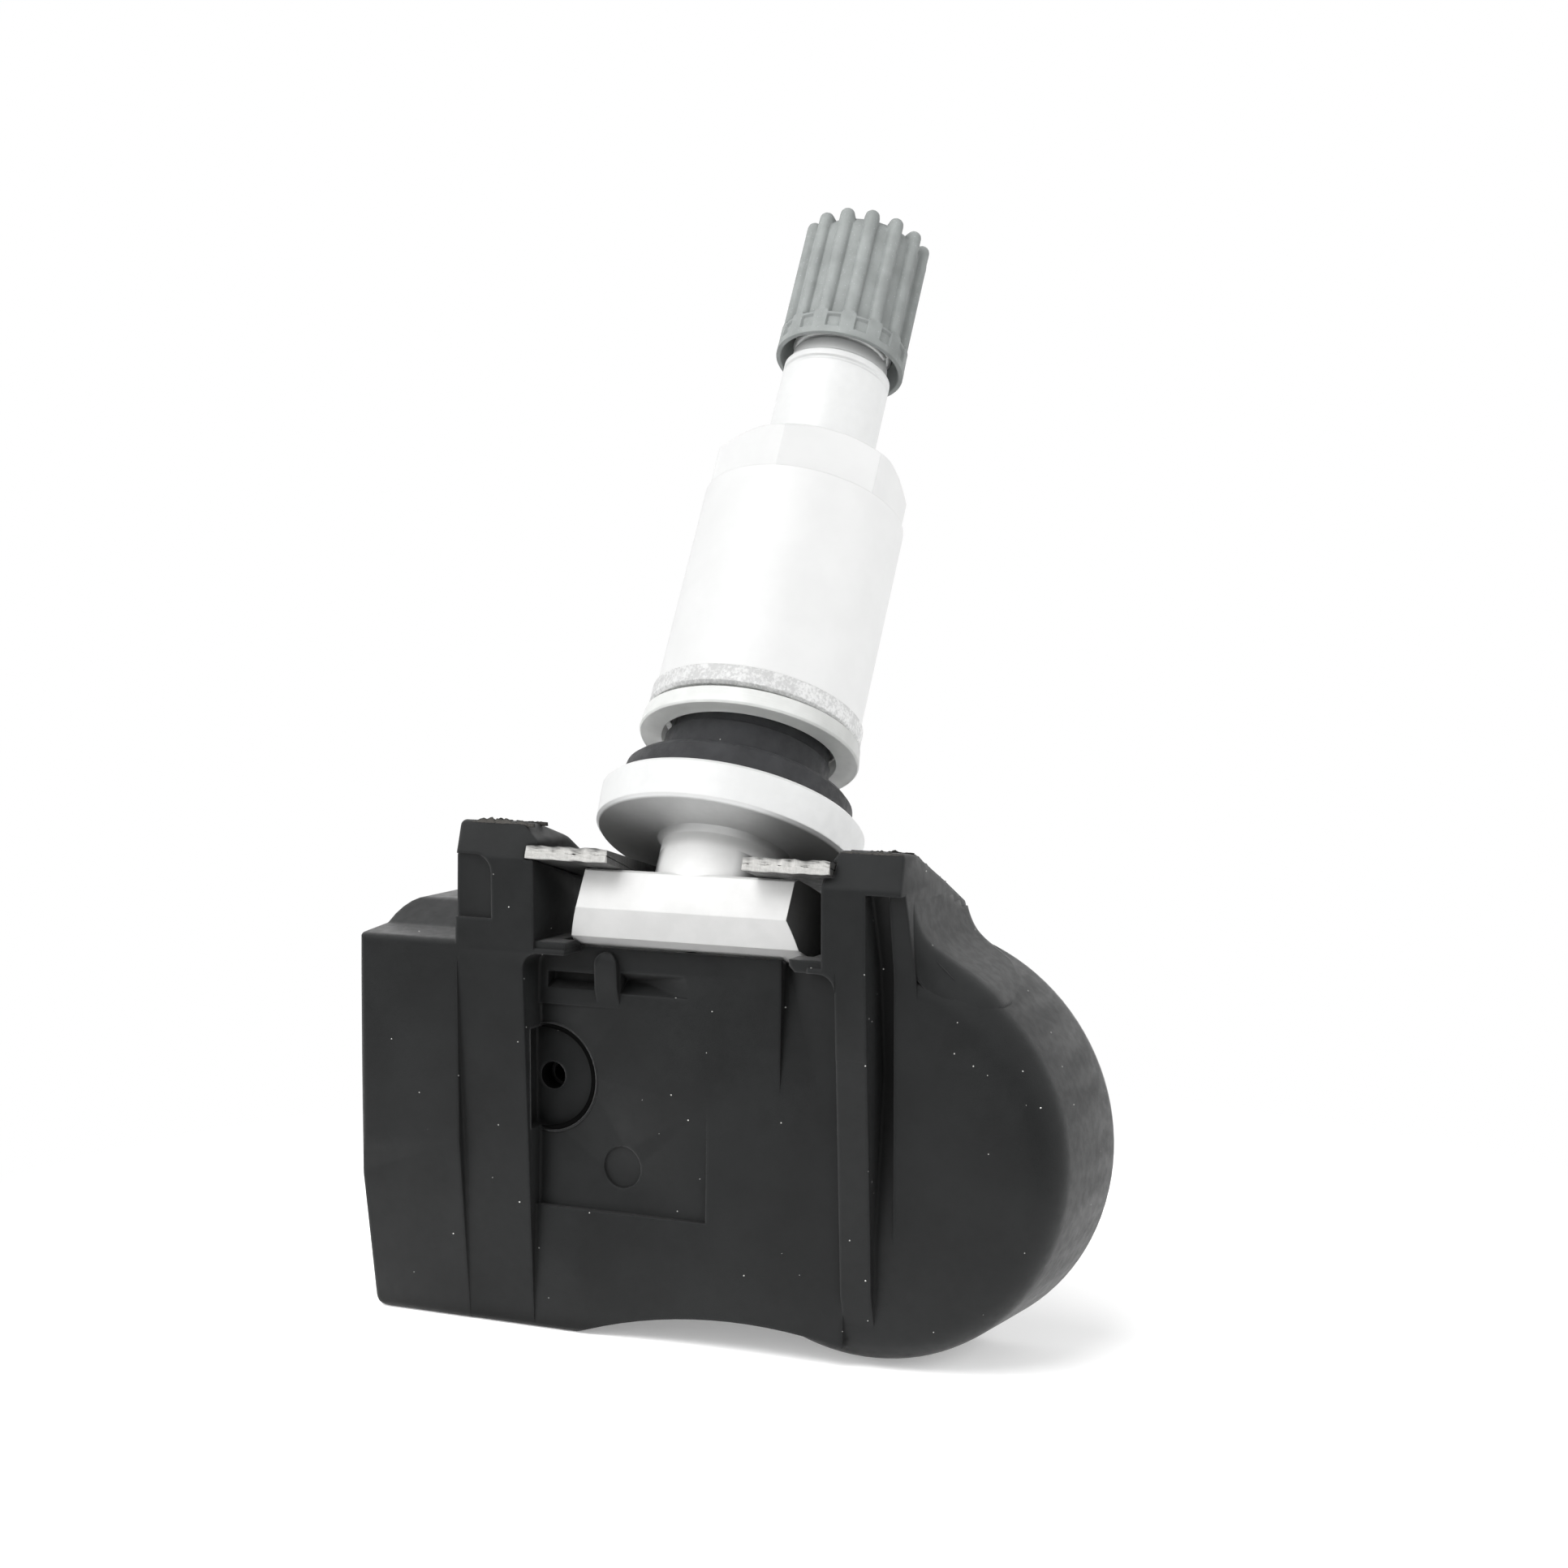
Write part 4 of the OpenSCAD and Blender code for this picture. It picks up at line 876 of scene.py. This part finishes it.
def arm_hollow():
    """The curve's surface, closed behind by a fan of faces to a point inside the housing."""
    faces = BVHTree.FromPolygons([v.co for v in housing_mesh.vertices],
                                 [tuple(p.vertices) for p in housing_mesh.polygons])
    bm = bmesh.new()
    rows, fronts, columns = [], [], []
    for n, (place, slope) in enumerate(along_points(HOLLOW, HOLLOW_STEPS)):
        part = n / HOLLOW_STEPS
        inward = Vector((slope.y, -slope.x))
        if inward.x > 0:
            inward = -inward
        roll = 0.9 + 1.5 * step_up(part, 0.0, 0.75)
        end = place + inward * roll
        hit = faces.ray_cast(Vector((end.x * MM, -0.05, end.y * MM)), Vector((0, 1, 0)))[0]
        rows.append((place, inward, roll))
        fronts.append(max(hit.y / MM, -16.6) + 0.05)
    for n, (place, inward, roll) in enumerate(rows):
        around = fronts[max(0, n - 4):n + 5]
        front = sum(around) / len(around) + 0.12 * step_up(n / HOLLOW_STEPS, 0.5, 0.85)
        sections = [(HOLLOW_REAR, 0.7), (HOLLOW_REAR, 0.0)]
        sections += [(HOLLOW_REAR + (front + roll - HOLLOW_REAR) * k / 8, 0.0) for k in range(1, 9)]
        sections += [(front + roll * (1 - math.sin(a)), roll * (1 - math.cos(a)))
                     for a in (math.radians(90) * k / 12 for k in range(1, 13))]
        column = []
        for y, sunk in sections:
            q = place + inward * sunk
            crest = ARM_REAR_Z - ARM_SLOPE * (y - ARM_REAR_Y)
            if q.y > crest:
                q = Vector((min(q.x, ARM_FACE_X), crest))
            column.append(bm.verts.new((q.x * MM, y * MM, q.y * MM)))
        columns.append(column)
    for a, b in zip(columns, columns[1:]):
        for k in range(len(a) - 1):
            bm.faces.new((a[k], b[k], b[k + 1], a[k + 1]))
    core = bm.verts.new(HOLLOW_CORE)
    for e in [e for e in bm.edges if len(e.link_faces) == 1]:
        bm.faces.new((e.verts[0], e.verts[1], core))
    return mesh_from(bm, "arm_hollow", turn_out=True)


finish_mesh("arm_hollow", arm_hollow(), HOUSING, "body", 40)

# %% [markdown]
# The tips of the arms were broken off the sprue, and flash was left where the mould's halves met. On
# the real part a thin ragged edge stands on them. It is a ribbon along each edge, sunk a little into
# the plastic, with torn heights from a fixed seed.

# %% Ragged flash on the arms
FLASH = nylon("flash_torn_nylon", (0.05, 0.047, 0.043), grain=5.0, depth=0.05, low=0.6, high=0.75,
              dust=0.6)
FLASH_SUNK, ARM_FROM_X, TIP_DEEP, SLOPE_DEEP = 0.25, 9, 0.35, 5.2


def closed_tube(bm, rows):
    """Fills the sides between rings of corners, and both ends."""
    sides = len(rows[0])
    for a, b in zip(rows, rows[1:]):
        for k in range(sides):
            bm.faces.new((a[k], a[(k + 1) % sides], b[(k + 1) % sides], b[k]))
    bm.faces.new(rows[0][::-1])
    bm.faces.new(rows[-1])


def flash(bm, start, end, tallest, seed, outward=(0, 0, 1), thick=0.16, step=0.13):
    """A torn ribbon from start to end, in millimetres of the frame."""
    rng = random.Random(seed)
    start, end, out = Vector(start), Vector(end), Vector(outward).normalized()
    along = (end - start).normalized()
    side = along.cross(out).normalized() * thick / 2
    count = max(2, int((end - start).length / step))
    level, rows = 0.3, []
    for i in range(count + 1):
        level = min(1.0, max(0.0, level + rng.uniform(-0.35, 0.35)))
        fade = min(1.0, 4 * i / count, 4 * (count - i) / count)
        p = start + (end - start) * i / count
        top = p + out * (tallest * level * fade) + side * rng.uniform(-0.5, 0.5)
        foot = p - out * FLASH_SUNK
        ring = (foot - side, foot + side, top + side * 0.4, top - side * 0.4)
        rows.append([bm.verts.new(v * MM) for v in ring])
    closed_tube(bm, rows)


def arm_corners(side):
    """The height of the arm's tip, its sides, front and rear, and the rear corners of its slope."""
    points = [v.co / MM for v in nodes["housing"].data.vertices if v.co.x * side > ARM_FROM_X * MM]
    top = max(p.z for p in points)
    tip = [p for p in points if p.z > top - TIP_DEEP]
    slope = [p for p in points if p.z > top - SLOPE_DEEP]
    rear_y = max(p.y for p in slope)
    rear = [p for p in slope if p.y > rear_y - 0.3]
    xs, ys = [p.x for p in tip], [p.y for p in tip]
    return top, min(xs), max(xs), min(ys), max(ys), rear


def arm_flash():
    bm = bmesh.new()
    for side, seed in ((-1, 5), (1, 8)):
        top, x0, x1, y0, y1, rear = arm_corners(side)
        flash(bm, (x0 + 0.1, y0 + 0.15, top - 0.05), (x1 - 0.1, y0 + 0.15, top - 0.05), 0.32, seed)
        flash(bm, (x0 + 0.1, y1 - 0.1, top - 0.12), (x1 - 0.1, y1 - 0.1, top - 0.12), 0.25, seed + 20)
        outer = max(rear, key=lambda p: p.x * side + p.z)
        edge_x = (x1 if side > 0 else x0) - 0.1 * side
        flash(bm, (edge_x, y1, top - 0.2), (outer.x - 0.1 * side, outer.y, outer.z), 0.2, seed + 40)
        x, y = outer.x - 0.12 * side, outer.y - 0.1
        flash(bm, (x, y, outer.z + 0.1), (x, y, outer.z - 0.9), 0.3, seed + 60, outward=(0, 1, 0.3))
    return mesh_from(bm, "arm_flash", turn_out=True)


finish_mesh("arm_flash", arm_flash(), FLASH, "body")

# %% [markdown]
# A low round lip edges the spot face round the port, where the insert that forms it meets the mould.
# It is an arc of a ring, left out where the recess wall cuts the spot face off. Its nylon is a little
# paler than the housing's, a painted highlight on its lit rim. Inside it, where the rim of the spot
# face rolls over, a near-black ring of the same arc is painted shade.

# %% The lip of the spot face
LIP_R, LIP_T, LIP_Y = 3.66, 0.06, -15.42
SHADE_RING_R, SHADE_RING_T, SHADE_RING_Y = 3.42, 0.12, -15.38
RING_FLAT, RING_HALF, RING_RISE, RING_STEPS, RING_SIDES = 1.6, 100, 0.11, 72, 8


def arc_of_ring(name, ring_r, thick, depth):
    """A flattened bar bent round the port, where the recess wall leaves the circle open."""
    bm = bmesh.new()
    rows = []
    for n in range(RING_STEPS + 1):
        part = n / RING_STEPS
        a = math.radians(RING_HALF * (2 * part - 1))
        thin = thick * min(1.0, 8 * part + 0.2, 8 * (1 - part) + 0.2)
        out = Vector((math.cos(a), 0, math.sin(a)))
        rise = Vector((0, depth + RING_RISE * step_up(math.sin(a), 0.0, 1.0), 0))
        turns = [math.tau * k / RING_SIDES for k in range(RING_SIDES)]
        bar = [thin * (RING_FLAT * math.cos(t) * out + Vector((0, math.sin(t), 0))) for t in turns]
        rows.append([bm.verts.new((PORT + rise + ring_r * out + v) * MM) for v in bar])
    closed_tube(bm, rows)
    return mesh_from(bm, name, turn_out=True)


# Painted highlight: the lip's nylon is paler than the housing's.
LIP_PAINTED_HIGHLIGHT = nylon("lip_worn_nylon", (0.014, 0.0145, 0.015), grain=10.0, low=0.4, high=0.5)
lip = arc_of_ring("port_lip", LIP_R, LIP_T, LIP_Y)
finish_mesh("port_lip", lip, LIP_PAINTED_HIGHLIGHT, "body", 60)
# Painted shade: a near-black ring just inside the lip.
shade_ring = arc_of_ring("port_groove", SHADE_RING_R, SHADE_RING_T, SHADE_RING_Y)
finish_mesh("port_groove", shade_ring, PAINTED_SHADE, "body", 60)

# %% [markdown]
# The fork is cut from strip with a shear, so its two front ends are torn: fine upright ridges, with
# chips out of their edges. The end faces of a copy are cut up finely and pushed back by ridges of
# uneven depth.

# %% The fork's sheared ends
END_CUTS, END_DEPTH = 14, 0.3 * MM


def torn_fork():
    bm = bmesh.new()
    bm.from_mesh(nodes["retaining_fork"].data)
    bmesh.ops.remove_doubles(bm, verts=bm.verts, dist=0.002 * MM)
    front = min(v.co.y for v in bm.verts)
    ends = [f for f in bm.faces if f.normal.y < -0.9 and f.calc_center_median().y < front + 0.6 * MM]
    joined = bmesh.ops.join_triangles(bm, faces=ends, angle_face_threshold=0.1,
                                      angle_shape_threshold=3.1)
    cut = [e for f in joined["faces"] for e in f.edges]
    bmesh.ops.subdivide_edges(bm, edges=list(set(cut)), cuts=END_CUTS, use_grid_fill=True)
    bmesh.ops.triangulate(bm, faces=bm.faces)
    rng = random.Random(4)
    tips = [v for v in bm.verts if v.co.y < front + END_DEPTH]
    middle_z = {}
    for right_end in (False, True):
        heights = [v.co.z for v in tips if (v.co.x > 0) == right_end]
        middle_z[right_end] = sum(heights) / len(heights)
    for v in tips:
        x = v.co.x / MM
        ridge = 0.5 + 0.5 * math.sin(x * 9 + 2 * math.sin(x * 2.3))
        v.co.y += (0.02 + 0.09 * ridge * rng.random()) * MM
        chip = 0.07 * max(0.0, math.sin(x * 3.1 + 1.0)) + rng.uniform(0.0, 0.05)
        v.co.z += (-chip if v.co.z > middle_z[v.co.x > 0] else 0.6 * chip) * MM
    return mesh_from(bm, "torn_fork")


fork = finish_mesh("torn_fork", torn_fork(), FORK, "body")
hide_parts("retaining_fork")

# %% [markdown]
# The end of the stem carries the cap's thread. In the CAD it is a plain cylinder, so the stem's mesh
# is copied, that cylinder is taken down to the thread's root, and a helix of diamond section is laid
# round it: half of the diamond is sunk, and the other half is the ridge. Numbers are millimetres
# along the valve.

# %% The stem and its cap thread
THREAD_R, ROOT_R, PITCH = 3.6, 3.22, 0.794
THREAD_LOW, THREAD_HIGH = 43.55, 50.75
NECK_LOW, NECK_R = 43.2, 3.5


def threaded_stem():
    mesh = nodes["valve_stem"].data.copy()
    back_to_valve = TO_VALVE.inverted()
    for v in mesh.vertices:
        p = back_to_valve @ v.co
        r = math.hypot(p.x, p.y)
        if p.z > NECK_LOW * MM and r > NECK_R * MM:
            p.x, p.y = p.x / r * ROOT_R * MM, p.y / r * ROOT_R * MM
            v.co = TO_VALVE @ p
    obj = plain_object("valve_body", mesh)
    for polygon, flat in zip(obj.data.polygons, nodes["valve_stem"].data.polygons):
        polygon.use_smooth = flat.use_smooth
    return obj


def tree_helix():
    tree, given = node_tree("helix", Radius="Float", Pitch="Float", Turns="Float", Ridge="Float",
                            Sides="Int", Steps="Int", Start="Float")
    spiral = fed(tree, "GeometryNodeCurveSpiral", Resolution=given["Steps"], Rotations=given["Turns"],
                 Start_Radius=given["Radius"], End_Radius=given["Radius"],
                 Height=times(tree, given["Pitch"], given["Turns"]))
    upright = add(tree, "GeometryNodeSetCurveNormal", mode="Z_UP")
    put(tree, upright.inputs[0], spiral.outputs[0])
    section = feed(tree, add(tree, "GeometryNodeCurvePrimitiveCircle", mode="RADIUS"),
                   Radius=given["Ridge"], Resolution=given["Sides"])
    tube = fed(tree, "GeometryNodeCurveToMesh", Curve=upright.outputs[0],
               Profile_Curve=section.outputs[0], Fill_Caps=True)
    place = fed(tree, "ShaderNodeCombineXYZ", Z=given["Start"])
    lift = fed(tree, "GeometryNodeTransform", Geometry=tube.outputs[0], Translation=place.outputs[0])
    return end_tree(tree, given, lift.outputs[0])


HELIX = tree_helix()
stem = threaded_stem()
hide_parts("valve_stem")
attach(stem, "body")
thread = run_tree(HELIX, "stem_thread", Radius=ROOT_R * MM, Pitch=PITCH * MM,
                  Turns=(THREAD_HIGH - THREAD_LOW) / PITCH, Ridge=(THREAD_R - ROOT_R - 0.02) * MM,
                  Sides=4, Steps=48, Start=THREAD_LOW * MM, Material=VALVE)
thread.data.transform(TO_VALVE)
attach(thread, "body")

# %% [markdown]
# Squeezed between the flange and the rim, the grommet's own flange bulges outwards and up a little.
# That is a small change to a copy of the CAD's mesh, made in the valve's own coordinates.

# %% The grommet's bulge
BULGE_OUT, BULGE_UP = 0.18, 0.22
BULGE_FROM_R, RAISED_FROM_R, RAISED_FROM_Z = 6.6, 5.9, 8.9


def bulged_grommet():
    mesh = nodes["grommet"].data.copy()
    to_upright = TO_VALVE.inverted()
    for v in mesh.vertices:
        p = to_upright @ v.co
        r = math.hypot(p.x, p.y)
        if r > BULGE_FROM_R * MM:
            p.x, p.y = p.x * (1 + BULGE_OUT * MM / r), p.y * (1 + BULGE_OUT * MM / r)
        if r > RAISED_FROM_R * MM and p.z > RAISED_FROM_Z * MM:
            p.z += BULGE_UP * MM
        v.co = TO_VALVE @ p
    return mesh


grommet = finish_mesh("bulged_grommet", bulged_grommet(), GROMMET, "body", 30)
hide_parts("grommet")

# %% [markdown]
# Dust settles on black nylon and shows at once. The specks are tiny pale crumbs, scattered over the
# housing by a tree with a fixed seed, so they are the same in every render.

# %% Dust on the housing
def crumb_mesh():
    bm = bmesh.new()
    bmesh.ops.create_icosphere(bm, subdivisions=1, radius=1.0)
    rng = random.Random(3)
    for v in bm.verts:
        v.co *= rng.uniform(0.7, 1.2)
        v.co.z *= 0.6
    return mesh_from(bm, "crumb")


def tree_dust():
    tree, given = node_tree("dust", Surface="Object", Crumb="Object", Density="Float",
                            Smallest="Float", Largest="Float", Seed="Int")
    surface = fed(tree, "GeometryNodeObjectInfo", Object=given["Surface"])
    crumb = fed(tree, "GeometryNodeObjectInfo", Object=given["Crumb"])
    points = fed(tree, "GeometryNodeDistributePointsOnFaces", Mesh=surface.outputs["Geometry"],
                 Density=given["Density"], Seed=given["Seed"])
    size = feed(tree, add(tree, "FunctionNodeRandomValue", data_type="FLOAT"), Seed=given["Seed"])
    put(tree, size.inputs[2], given["Smallest"])
    put(tree, size.inputs[3], given["Largest"])
    copies = fed(tree, "GeometryNodeInstanceOnPoints", Points=points.outputs["Points"],
                 Rotation=points.outputs["Rotation"], Instance=crumb.outputs["Geometry"],
                 Scale=size.outputs[1])
    return end_tree(tree, given, copies.outputs[0])


DUST = simple("dust_pale", (0.6, 0.6, 0.58), 0.8, 0.9)
crumb = new_object("crumb", crumb_mesh())
dust = run_tree(tree_dust(), "housing_dust", Surface=nodes["housing"], Crumb=crumb, Density=25000.0,
                Smallest=0.02 * MM, Largest=0.065 * MM, Seed=11, Material=DUST)
bpy.data.objects.remove(crumb)
INSIDE_BOX = 0.005 * MM
for v in dust.data.vertices:
    v.co = [min(max(c, a + INSIDE_BOX), b - INSIDE_BOX) for c, a, b in zip(v.co, *cad_box)]
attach(dust, "body")
